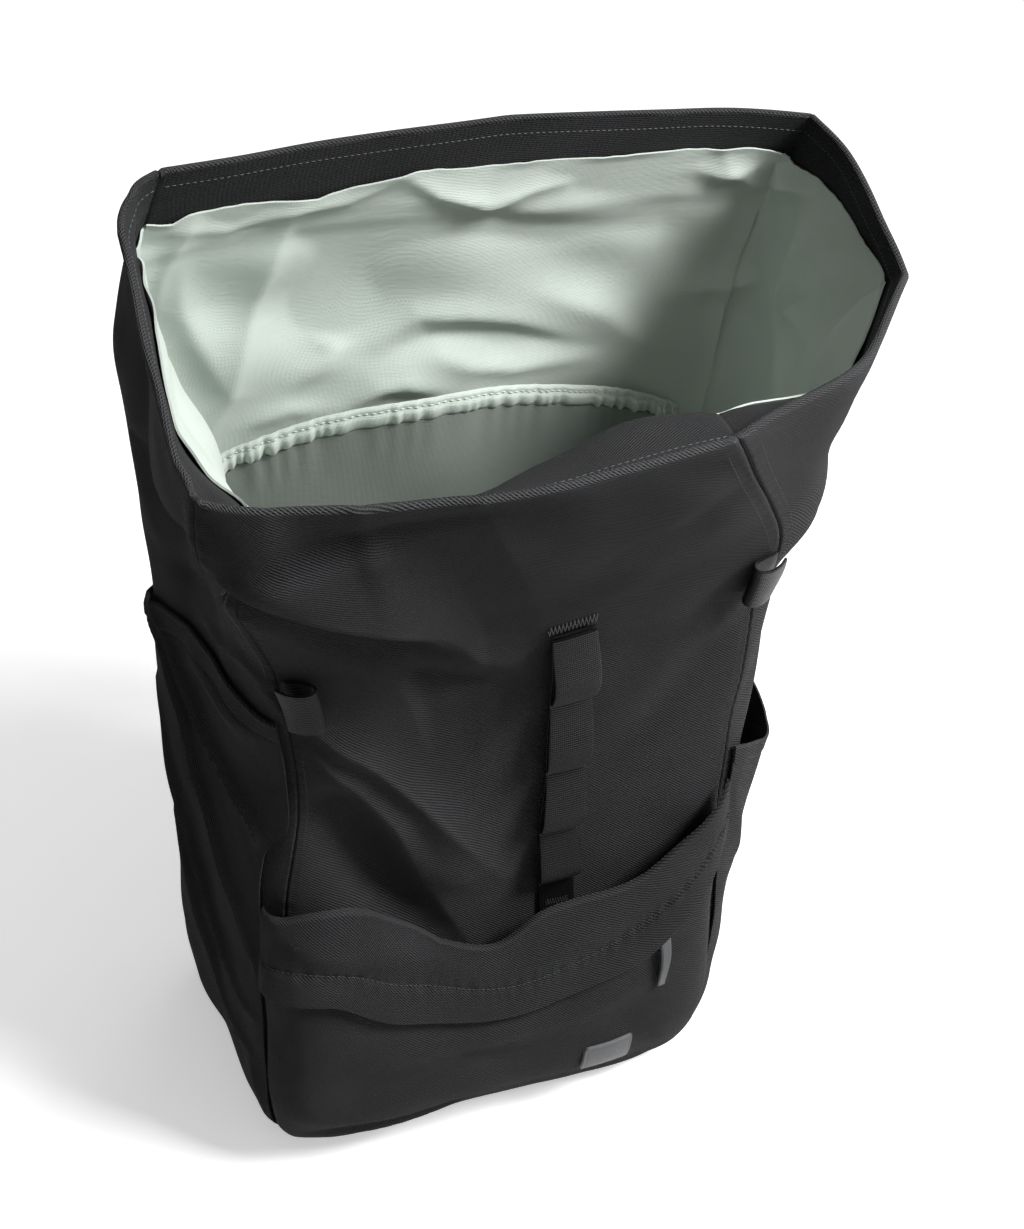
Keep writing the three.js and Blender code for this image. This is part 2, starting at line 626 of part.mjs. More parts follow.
// Daisy chain: a flat strap up the front, and a looped strap tacked to it at even steps
const daisyPath = [...TACKS, DAISY_END];
const daisyStation = (height) => {
  const rows = [...daisyPath].reverse();
  return spline(rows.map((row) => row.height), rows.map((row) => row.station), height / DAISY_TOP);
};
function daisyFrame(height, lift) {
  const station = daisyStation(height);
  const level = height / RIM_HEIGHT;
  const face = outward(station, level);
  const next = daisyStation(height + 1);
  const up = shell(next, level + 1 / RIM_HEIGHT).sub(shell(station, level)).normalize();
  const side = new THREE.Vector3().crossVectors(face, up).normalize();
  return { point: layer(station, level, lift), side, face };
}
const constant = (value) => () => value;
const baseLift = SEAT + WEBBING_THICKNESS / 2;
addPiece('daisy_base', strapSolid(
  shares(14).map((share) => daisyFrame(
    lerp(DAISY_END.height, 1, share) * DAISY_TOP, baseLift,
  )),
  constant(WEBBING - 3), constant(WEBBING_THICKNESS),
), MATERIAL.webbing);

const loopLift = baseLift + WEBBING_THICKNESS + CLEAR;
addPiece('daisy_loops', (() => {
  const frames = [];
  const perLoop = 8;
  for (let k = TACKS.length - 1; k > 0; k -= 1) {
    const low = TACKS[k].height * DAISY_TOP;
    const high = TACKS[k - 1].height * DAISY_TOP;
    for (let i = k === TACKS.length - 1 ? 0 : 1; i <= perLoop; i += 1) {
      const share = i / perLoop;
      const lift = loopLift + DAISY_LIFT * Math.sin(Math.PI * share) ** 0.7;
      frames.push(daisyFrame(lerp(low, high, share), lift));
    }
  }
  return strapSolid(frames, constant(WEBBING), constant(WEBBING_THICKNESS));
})(), MATERIAL.webbing);

// Webbing loops sewn into the front seams and folded flat towards the middle of the front.
// away: share of TAB_REACH from the seam; lift: share of half the loop's depth from its middle.
const TAB_SECTION = [
  { away: 0.02, lift: 0.30 }, { away: 0.30, lift: 0.80 }, { away: 0.65, lift: 1 }, { away: 0.92, lift: 0.65 },
  { away: 1, lift: 0 }, { away: 0.92, lift: -0.65 }, { away: 0.65, lift: -1 }, { away: 0.10, lift: -1 },
];
function seamTab(name, station, towards, height) {
  const half = (TAB_GAP + WEBBING_THICKNESS) / 2;
  const seat = 1.5 * SEAT + WEBBING_THICKNESS / 2;
  const section = new THREE.CatmullRomCurve3(TAB_SECTION.map(({ away, lift }) => new THREE.Vector3(
    away * TAB_REACH, seat + half * (1 + lift), 0,
  )), false, 'centripetal');
  const step = 0.1 * towards;
  const run = step / shell(station, height / RIM_HEIGHT).distanceTo(shell(station + step, height / RIM_HEIGHT));
  const at = (share, up, side) => {
    const point = section.getPointAt(share);
    const along = section.getTangentAt(share);
    const out = side * towards * WEBBING_THICKNESS / 2;
    return layer(
      station + (point.x - along.y * out) * run,
      (height + TAB_LENGTH * (up - 0.5)) / RIM_HEIGHT,
      point.y + along.x * out,
    );
  };
  addPiece(name, wallSolid(
    grid(shares(13), shares(3), (c, r) => at(c, r, 1)),
    grid(shares(13), shares(3), (c, r) => at(c, r, -1)),
  ), MATERIAL.webbing);
}
seamTab('loop_left', STATION.frontLeft - 0.02, -1, TAB_HEIGHT.left);
seamTab('loop_right', STATION.frontRight + 0.02, 1, TAB_HEIGHT.right);

// Back padding: one plain quilted pad
addPiece('back_padding', (() => {
  const inner = backColumns.slice(2, -2);
  const [from, to] = [inner[0], inner[inner.length - 1]];
  const columns = [from, from + 0.06, ...inner.slice(1, -1), to - 0.06, to];
  const top = BACK_PAD_HEIGHT / RIM_HEIGHT;
  const inside = LEVELS.filter((level) => level > LEVELS[0] && level < top);
  const rows = [LEVELS[0], LEVELS[0] + 0.02, ...inside, top];
  const at = (station, level, thick) => {
    const edge = Math.min(station - from, to - station, 3 * (level - LEVELS[0]), 3 * (top - level));
    return layer(station, level, SEAT + thick * BACK_PAD_THICKNESS * lerp(0.4, 1, smooth(edge / 0.12)));
  };
  return wallSolid(grid(columns, rows, (c, r) => at(c, r, 1)), grid(columns, rows, (c, r) => at(c, r, 0)));
})(), MATERIAL.mesh);

// Shoulder straps: padded from the yoke to the adjuster, then webbing down to the lower corner.
// across: share of half BODY_WIDTH; out: share of STRAP_BOW off the back wall; height: share of the anchor's.
const STRAP_PATH = [
  { across: 0.32, out: 0.028, height: 1.00 },
  { across: 0.32, out: 0.14, height: 1.00 },
  { across: 0.33, out: 0.55, height: 1.00 },
  { across: 0.42, out: 0.95, height: 0.92 },
  { across: 0.60, out: 1.00, height: 0.81 },
  { across: 0.80, out: 0.84, height: 0.72 },
];
const ADJUSTER_PATH = [
  { across: 0.817, out: 0.815, height: 0.709 },
  { across: 0.86, out: 0.75, height: 0.665 },
];
const WEB_PATH = [
  { across: 0.866, out: 0.741, height: 0.6585 },
  { across: 0.881, out: 0.72, height: 0.643 },
  { across: 0.90, out: 0.62, height: 0.50 },
  { across: 0.88, out: 0.38, height: 0.34 },
  { across: 0.84, out: 0.010, height: 0.27 },
];
const backWallY = (x, height) => {
  let low = STATION.backLeft;
  let high = STATION.backRight;
  while (high - low > 1e-6) {
    const middle = (low + high) / 2;
    if (shell(middle, height / RIM_HEIGHT).x < x) low = middle;
    else high = middle;
  }
  return shell(low, height / RIM_HEIGHT).y;
};
const bagPoint = (side, { across, out, height }) => {
  const x = side * across * BODY_WIDTH / 2;
  const z = height * STRAP_ANCHOR_HEIGHT;
  return new THREE.Vector3(x, backWallY(x, z) + SEAT + out * STRAP_BOW, z);
};
for (const [hand, side] of [['left', -1], ['right', 1]]) {
  const outTurn = (share) => new THREE.Vector3(side * 0.25 * share, 1, lerp(1.2, 0.1, smooth(share * 2)));
  const pads = STRAP_PATH.map((row) => bagPoint(side, row));
  addPiece(`strap_pad_${hand}`, strapSolid(framesAlong(pads, 16, outTurn),
    (share) => lerp(STRAP_WIDTH, STRAP_WIDTH * 0.72, share), constant(STRAP_THICKNESS)), MATERIAL.mesh);
  const locks = ADJUSTER_PATH.map((row) => bagPoint(side, row));
  addPiece(`adjuster_${hand}`, strapSolid(framesAlong(locks, 2, () => outTurn(1)),
    constant(WEBBING + 8), constant(ADJUSTER_THICKNESS)), MATERIAL.plastic);
  const webs = WEB_PATH.map((row) => bagPoint(side, row));
  addPiece(`strap_webbing_${hand}`, strapSolid(framesAlong(webs, 12, () => outTurn(1)),
    constant(WEBBING), constant(WEBBING_THICKNESS)), MATERIAL.webbing);
}

// Grab handle: an arched strap above the yoke, both ends sewn to the back panel
addPiece('grab_handle', (() => {
  const arch = [
    { across: -0.62, out: 0 }, { across: -0.48, out: 0.04 }, { across: -0.36, out: 0.6 },
    { across: 0, out: 1 }, { across: 0.36, out: 0.6 }, { across: 0.48, out: 0.04 }, { across: 0.62, out: 0 },
  ];
  const points = arch.map(({ across, out }) => layer(
    STATION.back + across * HANDLE_SPAN / (BODY_WIDTH / 2), HANDLE_HEIGHT / RIM_HEIGHT,
    SEAT + HANDLE_THICKNESS / 2 + out * HANDLE_RISE,
  ));
  const face = outward(STATION.back, HANDLE_HEIGHT / RIM_HEIGHT);
  return strapSolid(framesAlong(points, 18, () => face), constant(WEBBING), constant(HANDLE_THICKNESS));
})(), MATERIAL.webbing);

export default bag;
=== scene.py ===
# Rolltop backpack of black cotton twill, standing open and empty on its base.
# Metres, +Z up, the front faces -Y and the origin is the middle of the base's underside.
import math

import bpy
import numpy as np
from mathutils import Matrix, Vector


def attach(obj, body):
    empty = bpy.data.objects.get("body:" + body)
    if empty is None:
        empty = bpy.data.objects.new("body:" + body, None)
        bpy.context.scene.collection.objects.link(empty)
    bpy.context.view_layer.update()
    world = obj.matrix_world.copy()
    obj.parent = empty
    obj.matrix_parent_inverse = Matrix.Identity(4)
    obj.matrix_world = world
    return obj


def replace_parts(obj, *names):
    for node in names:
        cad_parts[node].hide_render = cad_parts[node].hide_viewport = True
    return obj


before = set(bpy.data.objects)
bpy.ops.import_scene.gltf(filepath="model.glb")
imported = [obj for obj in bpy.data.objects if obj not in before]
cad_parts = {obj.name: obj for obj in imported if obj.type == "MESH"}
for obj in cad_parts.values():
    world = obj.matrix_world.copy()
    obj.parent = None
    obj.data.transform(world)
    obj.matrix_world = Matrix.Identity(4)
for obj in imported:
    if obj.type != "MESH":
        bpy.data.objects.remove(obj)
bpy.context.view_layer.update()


# Floor, daylight and camera
# A pale studio floor under a white sky, one large soft lamp at the front right, and the photograph's
# view: from above the bag's left front corner, slightly rolled.
FLOOR_COLOUR = (0.90, 0.90, 0.90, 1)
FLOOR_GLOW = 0.42
SKY_STRENGTH = 0.72
SKY_DIM, SKY_BRIGHT = 0.03, 1.0
SKY_FALL = (-0.40, 0.95)
WINDOW_SIDE = (0.80, -0.35, 0.50)
VIEW_TARGET = Vector((0.019, -0.004, 0.353))
VIEW_AZIMUTH = math.radians(-23.2)
VIEW_ELEVATION = math.radians(40.9)
VIEW_ROLL = math.radians(5.7)
VIEW_DISTANCE = 0.922
VIEW_LENS = 47.66

bpy.ops.mesh.primitive_plane_add(size=30, location=(0, 0, -0.0005))
floor = bpy.context.object
floor.name = "studio_floor"
floor_paint = bpy.data.materials.new("pale_floor")
floor_paint.use_nodes = True
floor_paint.node_tree.nodes["Principled BSDF"].inputs["Base Color"].default_value = FLOOR_COLOUR
floor_paint.node_tree.nodes["Principled BSDF"].inputs["Roughness"].default_value = 0.9
floor_paint.node_tree.nodes["Principled BSDF"].inputs["Emission Color"].default_value = (1, 1, 1, 1)
floor_paint.node_tree.nodes["Principled BSDF"].inputs["Emission Strength"].default_value = FLOOR_GLOW
floor.data.materials.append(floor_paint)
floor.visible_diffuse = False

sky = bpy.data.worlds.new("white_studio")
sky.use_nodes = True
sky.node_tree.nodes["Background"].inputs["Strength"].default_value = SKY_STRENGTH
where = sky.node_tree.nodes.new("ShaderNodeTexCoord")
facing_window = sky.node_tree.nodes.new("ShaderNodeVectorMath")
facing_window.operation = "DOT_PRODUCT"
facing_window.inputs[1].default_value = WINDOW_SIDE
fall = sky.node_tree.nodes.new("ShaderNodeMapRange")
for socket, value in zip(("From Min", "From Max", "To Min", "To Max"), (*SKY_FALL, SKY_DIM, SKY_BRIGHT)):
    fall.inputs[socket].default_value = value
sky.node_tree.links.new(where.outputs["Generated"], facing_window.inputs[0])
sky.node_tree.links.new(facing_window.outputs["Value"], fall.inputs["Value"])
sky.node_tree.links.new(fall.outputs["Result"], sky.node_tree.nodes["Background"].inputs["Color"])
bpy.context.scene.world = sky
bpy.context.scene.view_settings.view_transform = "Standard"


def softbox(name, place, aim, size, watts):
    """A square area lamp at a place, turned so that it looks at its aim."""
    lamp = bpy.data.lights.new(name, "AREA")
    lamp.size = size
    lamp.energy = watts
    holder = bpy.data.objects.new(name, lamp)
    holder.location = place
    holder.rotation_mode = "QUATERNION"
    holder.rotation_quaternion = (Vector(aim) - Vector(place)).to_track_quat("-Z", "Y")
    bpy.context.collection.objects.link(holder)


softbox("key_softbox", (0.92, -0.70, 1.72), (0, 0, 0.40), 0.5, 51)
softbox("back_softbox", (0.9, 1.5, 1.5), (0, 0, 0.4), 1.0, 3)

towards_eye = Vector((
    math.sin(VIEW_AZIMUTH) * math.cos(VIEW_ELEVATION),
    -math.cos(VIEW_AZIMUTH) * math.cos(VIEW_ELEVATION),
    math.sin(VIEW_ELEVATION),
))
level_right = (-towards_eye).cross(Vector((0, 0, 1))).normalized()
level_up = level_right.cross(-towards_eye)
rolled_right = level_right * math.cos(VIEW_ROLL) + level_up * math.sin(VIEW_ROLL)
rolled_up = level_up * math.cos(VIEW_ROLL) - level_right * math.sin(VIEW_ROLL)
lens = bpy.data.cameras.new("camera")
lens.lens = VIEW_LENS
lens.sensor_width = 36
camera = bpy.data.objects.new("camera", lens)
camera.matrix_world = Matrix.Translation(VIEW_TARGET + towards_eye * VIEW_DISTANCE) @ Matrix((
    (rolled_right.x, rolled_up.x, towards_eye.x, 0),
    (rolled_right.y, rolled_up.y, towards_eye.y, 0),
    (rolled_right.z, rolled_up.z, towards_eye.z, 0),
    (0, 0, 0, 1),
))
bpy.context.collection.objects.link(camera)
bpy.context.scene.camera = camera


# Front panel
# One length of black cotton twill from the base to the rolled mouth. It is cut with the rest of the
# body's shell, which is laid out in stations round the bag and levels up it, and then folded and creased.
RIM_HEIGHT = 0.600
BODY_WIDTH = 0.340
BODY_DEPTH = 0.180
MOUTH_WIDTH = 0.362
MOUTH_DEPTH = 0.232
FABRIC = 0.002
SEAT = 0.0009
STATION_RUN = 0.115
SIDE_FORWARD = 0.015
BACK_LEFT, BACK, BACK_RIGHT, RIGHT, FRONT_RIGHT, FRONT, FRONT_LEFT, LEFT = range(8)
STATIONS = 8

# level; back, front, crown (of BODY_DEPTH); back left and right, side left and right, front left and right
# (of half BODY_WIDTH)
SECTIONS = np.array([
    (0.000, 0.420, -0.44, 0.02, 0.860, 0.88, 0.85, 0.93, 0.720, 0.740),
    (0.035, 0.460, -0.48, 0.03, 0.910, 0.95, 0.90, 1.00, 0.770, 0.820),
    (0.130, 0.470, -0.50, 0.04, 0.920, 0.97, 0.93, 1.03, 0.790, 0.830),
    (0.270, 0.470, -0.48, 0.03, 0.920, 0.97, 0.93, 1.03, 0.790, 0.800),
    (0.400, 0.470, -0.46, 0.02, 0.925, 0.97, 0.93, 1.01, 0.780, 0.770),
    (0.520, 0.460, -0.46, 0.03, 0.935, 0.97, 0.93, 0.99, 0.735, 0.745),
    (0.640, 0.460, -0.48, 0.06, 0.960, 0.98, 0.93, 0.97, 0.765, 0.725),
    (0.720, 0.455, -0.52, 0.09, 0.980, 0.99, 0.94, 0.97, 0.810, 0.700),
    (0.790, 0.450, -0.60, 0.10, 1.000, 1.00, 0.94, 0.99, 0.885, 0.660),
    (0.860, 0.440, -0.71, 0.10, 1.010, 1.01, 0.96, 1.00, 0.960, 0.530),
])
# across (of half MOUTH_WIDTH), deep (of MOUTH_DEPTH), level, for each station
MOUTH = np.array([
    (-0.856, 0.198, 1.025),
    (0.100, 0.267, 1.033),
    (1.017, 0.228, 1.020),
    (0.884, -0.388, 1.000),
    (0.193, -0.767, 0.983),
    (-0.414, -0.806, 0.972),
    (-0.983, -0.668, 0.968),
    (-0.983, 0.078, 1.000),
])
# Main folds: station and level at both ends, width (of BODY_WIDTH), depth (of BODY_DEPTH)
MAIN_FOLDS = np.array([
    (5.80, 0.600, 5.25, 0.400, 0.045, 0.04),
    (5.80, 0.520, 5.35, 0.330, 0.060, -0.07),
    (3.48, 1.020, 3.60, 0.780, 0.110, 0.095),
])
# The rolled collar's edge: stations and levels, then how far it stands out, how far the cloth is tucked in
# below it and how far it hangs down (metres)
ROLL_EDGE = np.array([
    (5.20, 0.720, 0.000, 0.000, 0.000),
    (5.36, 0.792, 0.007, 0.004, 0.002),
    (5.48, 0.842, 0.012, 0.009, 0.005),
    (5.74, 0.903, 0.016, 0.014, 0.006),
    (5.92, 0.930, 0.012, 0.018, 0.005),
    (6.08, 0.942, 0.006, 0.019, 0.003),
    (6.20, 0.928, 0.007, 0.018, 0.003),
    (6.50, 0.885, 0.011, 0.013, 0.003),
    (6.90, 0.835, 0.010, 0.009, 0.002),
    (7.40, 0.795, 0.006, 0.005, 0.000),
    (7.75, 0.780, 0.000, 0.000, 0.000),
])

half_width = BODY_WIDTH / 2
section_back, section_front, section_crown = (SECTIONS[:, k] * BODY_DEPTH for k in (1, 2, 3))
back_left, back_right, side_left, side_right, front_left, front_right = (
    SECTIONS[:, k] * half_width for k in range(4, 10)
)
nothing = np.zeros(len(SECTIONS))
SHELL_LEVELS = np.append(SECTIONS[:, 0], 1.0)
SHELL_X = np.column_stack([np.array([
    -back_left, nothing, back_right, side_right, front_right,
    (front_right - front_left) / 2, -front_left, -side_left,
]), MOUTH[:, 0] * MOUTH_WIDTH / 2])
SHELL_Y = np.column_stack([np.array([
    section_back, section_back, section_back, nothing - SIDE_FORWARD, section_front,
    section_front - section_crown, section_front, nothing,
]), MOUTH[:, 1] * MOUTH_DEPTH])


def ease(t):
    """Smooth step: three times the square of t less twice its cube, with t held between 0 and 1."""
    held = np.clip(t, 0, 1)
    return held * held * (3 - 2 * held)


def mix(a, b, t):
    """Straight blend from a to b."""
    return a + (b - a) * t


def through(knots, rows, which, x):
    """Cubic through each row's values at the knots, with slopes from the neighbouring knots."""
    last = len(knots) - 1
    low = np.clip(np.searchsorted(knots, x) - 1, 0, last - 1)
    before, after = np.maximum(low - 1, 0), np.minimum(low + 2, last)
    span = knots[low + 1] - knots[low]
    rise_low = (rows[which, low + 1] - rows[which, before]) / (knots[low + 1] - knots[before])
    rise_high = (rows[which, after] - rows[which, low]) / (knots[after] - knots[low])
    t = (x - knots[low]) / span
    return ((2 * t**3 - 3 * t**2 + 1) * rows[which, low] + (t**3 - 2 * t**2 + t) * span * rise_low
            + (3 * t**2 - 2 * t**3) * rows[which, low + 1] + (t**3 - t**2) * span * rise_high)


def plain_shell(station, level):
    """Unfolded shell: eight plan points at each level, joined by a blend of straight lines and a closed
    Catmull-Rom curve; above the middle it also rises towards the mouth's own uneven height."""
    wrapped = np.mod(station, STATIONS)
    first = np.floor(wrapped).astype(int)
    t = wrapped - first
    rounding = mix(0.8, 0.45, ease((level - 0.75) / 0.25))
    axes = []
    for values in (SHELL_X, SHELL_Y, None):
        corner = []
        for k in (-1, 0, 1, 2):
            s = (first + k) % STATIONS
            corner.append(MOUTH[s, 2] - 1 if values is None else through(SHELL_LEVELS, values, s, level))
        a, b, c, d = corner
        curved = 0.5 * (2 * b + (c - a) * t + (2 * a - 5 * b + 4 * c - d) * t**2
                        + (3 * b - a - 3 * c + d) * t**3)
        axes.append(mix(mix(b, c, t), curved, rounding))
    height = (level + axes[2] * ease((level - 0.55) / 0.45)) * RIM_HEIGHT
    return np.stack([axes[0], axes[1], height], axis=-1)


def ridge(u, v, start, end, width, sharpness=2.0):
    """A raised line from start to end: a bell across it, a sine along it that fades at both ends."""
    du, dv = end[0] - start[0], end[1] - start[1]
    along = np.clip(((u - start[0]) * du + (v - start[1]) * dv) / (du * du + dv * dv), 0, 1)
    away = np.hypot(u - start[0] - du * along, v - start[1] - dv * along) / width
    return np.exp(-away**sharpness) * np.sin(math.pi * mix(0.22, 0.78, along))


def fold_push(station, level, folds):
    """Sum of the ridges of a fold table, as a distance outwards."""
    push = 0
    for s0, v0, s1, v1, width, depth, *sharp in folds:
        push = push + depth * BODY_DEPTH * ridge(
            station * STATION_RUN, level * RIM_HEIGHT,
            (s0 * STATION_RUN, v0 * RIM_HEIGHT), (s1 * STATION_RUN, v1 * RIM_HEIGHT),
            width * BODY_WIDTH, *sharp,
        )
    return push


def level_out(station, level):
    """Unit direction that points straight out of the unfolded shell and lies level."""
    step = 0.02
    chord = plain_shell(station + step, level) - plain_shell(station - step, level)
    out = np.stack([-chord[..., 1], chord[..., 0], np.zeros_like(chord[..., 0])], axis=-1)
    return out / np.linalg.norm(out, axis=-1, keepdims=True)


def roll_at(station, level, inner=False):
    """Push and drop of the rolled collar: it swells gently above its edge, turns under sharply at it, is
    pinched in below it and recovers. The distance from the edge is the height over it, leaned by its slope.
    The inner layers bridge the edge without following it, except close under the rim."""
    knots, rows = ROLL_EDGE[:, 0], ROLL_EDGE.T
    s = np.clip(np.mod(station, STATIONS), knots[0], knots[-1])
    edge, stand, tuck, hang = (through(knots, rows, k, s) for k in (1, 2, 3, 4))
    ahead, behind = (through(knots, rows, 1, np.clip(s + k, knots[0], knots[-1])) for k in (0.03, -0.03))
    slope = (ahead - behind) * RIM_HEIGHT / (0.06 * STATION_RUN)
    over = (level - edge) * RIM_HEIGHT / np.sqrt(1 + slope**2)
    push = (stand * ease((0.052 - over) / 0.048) - (stand + tuck) * ease((0.004 - over) / 0.016)
            + tuck * ease((-0.012 - over) / 0.050))
    lip = ease((0.030 - over) / 0.027) * ease((over + 0.016) / 0.016)
    if inner:
        share = ease((0.985 - level) / 0.030)
        bridge = 1.1 * tuck * (ease((-0.016 - over) / 0.052) - ease((0.030 - over) / 0.040))
        push, lip = mix(push, bridge, share), lip * (1 - share)
    return push, hang * lip


def main_shell(station, level, inner=False):
    """Shell with its main folds and the roll pushed out along the level direction, and the roll hung down."""
    push, hang = roll_at(station, level, inner)
    push = push + fold_push(station, level, MAIN_FOLDS)
    down = np.stack([0 * hang, 0 * hang, -hang], axis=-1)
    return plain_shell(station, level) + level_out(station, level) * push[..., None] + down


def unit(vectors):
    """Vectors divided by their own lengths."""
    return vectors / np.maximum(np.linalg.norm(vectors, axis=-1, keepdims=True), 1e-12)


def shell_out(station, level, shape=None):
    """Unit normal of a shell: the upward step crossed with the step along the stations."""
    shape = shape or main_shell
    along = shape(station + 0.02, level) - shape(station - 0.02, level)
    up = shape(station, level + 0.004) - shape(station, level - 0.004)
    return unit(np.cross(up, along))


def layer(station, level, distance, shape=None):
    """Point at a distance outside the shell; a negative distance is inside it."""
    shape = shape or main_shell
    away = np.asarray(distance)[..., None] if np.ndim(distance) else distance
    return shape(station, level) + shell_out(station, level, shape) * away


def trail(u, v, path, width, sharpness=2.0):
    """A raised line through several points: a bell of the distance to the nearest leg, with a sine that
    fades at the two ends of the whole path."""
    path = np.asarray(path, float)
    legs = np.linalg.norm(np.diff(path, axis=0), axis=1)
    run = np.concatenate([[0], np.cumsum(legs)])
    best = np.full(np.shape(u + v), 9.0)
    at = np.zeros(np.shape(u + v))
    for start, end, before, leg in zip(path[:-1], path[1:], run[:-1], legs):
        du, dv = (end - start) / leg
        along = np.clip((u - start[0]) * du + (v - start[1]) * dv, 0, leg)
        away = np.hypot(u - start[0] - du * along, v - start[1] - dv * along)
        at = np.where(away < best, before + along, at)
        best = np.minimum(best, away)
    return np.exp(-(best / width)**sharpness) * np.sin(math.pi * mix(0.12, 0.88, at / run[-1]))


# Fine creases: depth and width in metres, sharpness (2 a round fold, 1.2 a sharp one), then the stations
# and levels that the crease runs through
FINE_FOLDS = [
    (-0.0030, 0.0065, 1.6, [(5.97, 0.945), (5.66, 0.964), (5.32, 0.978), (5.00, 0.986)]),
    (0.0022, 0.0090, 2.0, [(5.94, 0.930), (5.62, 0.940), (5.25, 0.955)]),
    (-0.0030, 0.0090, 1.7, [(5.46, 0.712), (5.34, 0.692), (5.20, 0.677)]),
    (0.0030, 0.0130, 2.0, [(5.62, 0.745), (5.32, 0.728), (5.10, 0.705)]),
    (0.0060, 0.0085, 1.5, [(6.10, 0.690), (5.92, 0.650), (5.69, 0.600), (5.49, 0.531), (5.27, 0.460), (5.05, 0.387)]),
    (-0.0060, 0.0095, 1.6, [(5.90, 0.625), (5.68, 0.570), (5.50, 0.506), (5.34, 0.430)]),
    (0.0052, 0.0080, 1.5, [(5.90, 0.615), (5.73, 0.555), (5.54, 0.484), (5.33, 0.375), (5.15, 0.285)]),
    (-0.0050, 0.0150, 1.8, [(5.82, 0.540), (5.60, 0.440), (5.38, 0.320), (5.22, 0.270)]),
    (0.0030, 0.0060, 1.6, [(6.95, 0.660), (6.60, 0.675), (6.26, 0.705), (6.06, 0.700)]),
    (-0.0025, 0.0080, 1.8, [(7.50, 0.660), (7.00, 0.690), (6.50, 0.740)]),
    (-0.0030, 0.0100, 1.8, [(4.05, 0.930), (4.35, 0.885), (4.70, 0.860)]),
    (0.0025, 0.0120, 2.0, [(4.05, 0.880), (4.45, 0.835), (4.80, 0.800)]),
    (-0.0025, 0.0120, 2.0, [(4.02, 0.700), (4.30, 0.640), (4.50, 0.560)]),
    (-0.0020, 0.0120, 1.8, [(3.95, 0.960), (3.70, 0.900), (3.45, 0.820)]),
    (-0.0030, 0.0120, 1.8, [(3.90, 0.720), (3.60, 0.690), (3.20, 0.700)]),
    (-0.0025, 0.0140, 2.0, [(2.20, 0.900), (2.60, 0.820), (3.00, 0.760)]),
    (0.0025, 0.0140, 2.0, [(0.60, 0.900), (0.90, 0.800), (1.40, 0.780)]),
    (-0.0025, 0.0140, 2.0, [(0.20, 0.840), (0.55, 0.780), (1.00, 0.770)]),
]


def slack(station, level):
    """Small soft unevenness of worn cotton: a sum of slanted sines whose phases drift along the cloth."""
    a = station * STATION_RUN * 90
    b = level * RIM_HEIGHT * 62
    return 0.0007 * (np.sin(a + 1.7 * np.sin(b * 0.6)) * np.sin(b * 0.8 + 1.1 * np.sin(a * 0.5 + 1.3))
                     + 0.6 * np.sin(0.45 * a + 0.9 * b + 2.1 * np.sin(a * 0.31)))


def creased_shell(station, level, inner=False):
    """The main shell with its fine creases and slack pushed outwards."""
    wrapped = np.mod(station, STATIONS)
    u = np.where(wrapped < 0.5, wrapped + STATIONS, wrapped)
    push = slack(wrapped, level) * ease((level - 0.02) / 0.1)
    for depth, width, sharpness, path in FINE_FOLDS:
        near = [(s * STATION_RUN, v * RIM_HEIGHT) for s, v in path]
        over = wrapped if path[0][0] < 2 else u
        push = push + depth * trail(over * STATION_RUN, level * RIM_HEIGHT, near, width, sharpness)
    return main_shell(station, level, inner) + level_out(station, level) * push[..., None]


def inner_shell(station, level):
    """The shell that the layers inside the body follow."""
    return creased_shell(station, level, True)


def near_seam(station):
    """Distance in metres from the nearest seam between two body panels."""
    wrapped = np.mod(station, STATIONS)
    seams = np.array([BACK_LEFT, BACK_RIGHT, FRONT_RIGHT, FRONT_LEFT, STATIONS])
    return np.min(np.abs(wrapped[..., None] - seams), axis=-1) * STATION_RUN


def seam_dip(station, level):
    """How far the cloth is drawn in at a seam: a narrow valley, with small puckers beside it."""
    away = near_seam(station)
    pucker = 0.5 + 0.5 * np.sin(level * RIM_HEIGHT * 700 + 2 * np.sin(level * 41))
    return -0.0013 * np.exp(-(away / 0.0011)**2) - 0.0006 * pucker * np.exp(-((away - 0.003) / 0.0032)**2)


def spaced(start, end, count, fine=()):
    """Even steps from start to end, with extra steps at the fine distances (metres) from both ends."""
    way = math.copysign(1, end - start)
    extra = np.array(fine) / STATION_RUN * way
    even = np.linspace(start, end, count)
    keep = np.abs(even - start) > (abs(extra[-1]) * 1.02 if len(extra) else -1)
    keep &= np.abs(even - end) > (abs(extra[-1]) * 1.02 if len(extra) else -1)
    return np.unique(np.concatenate([start + extra, even[keep], end - extra]))[::int(way)]


def arc_map(grid):
    """UV in metres: the arc length across from the middle column, and the arc length up each column."""
    across = np.linalg.norm(np.diff(grid, axis=0), axis=-1)
    across = np.concatenate([np.zeros((1, grid.shape[1])), np.cumsum(across, axis=0)])
    across = across - across[grid.shape[0] // 2]
    up = np.linalg.norm(np.diff(grid, axis=1), axis=-1)
    up = np.concatenate([np.zeros((grid.shape[0], 1)), np.cumsum(up, axis=1)], axis=1)
    return np.stack([across, up], axis=-1)


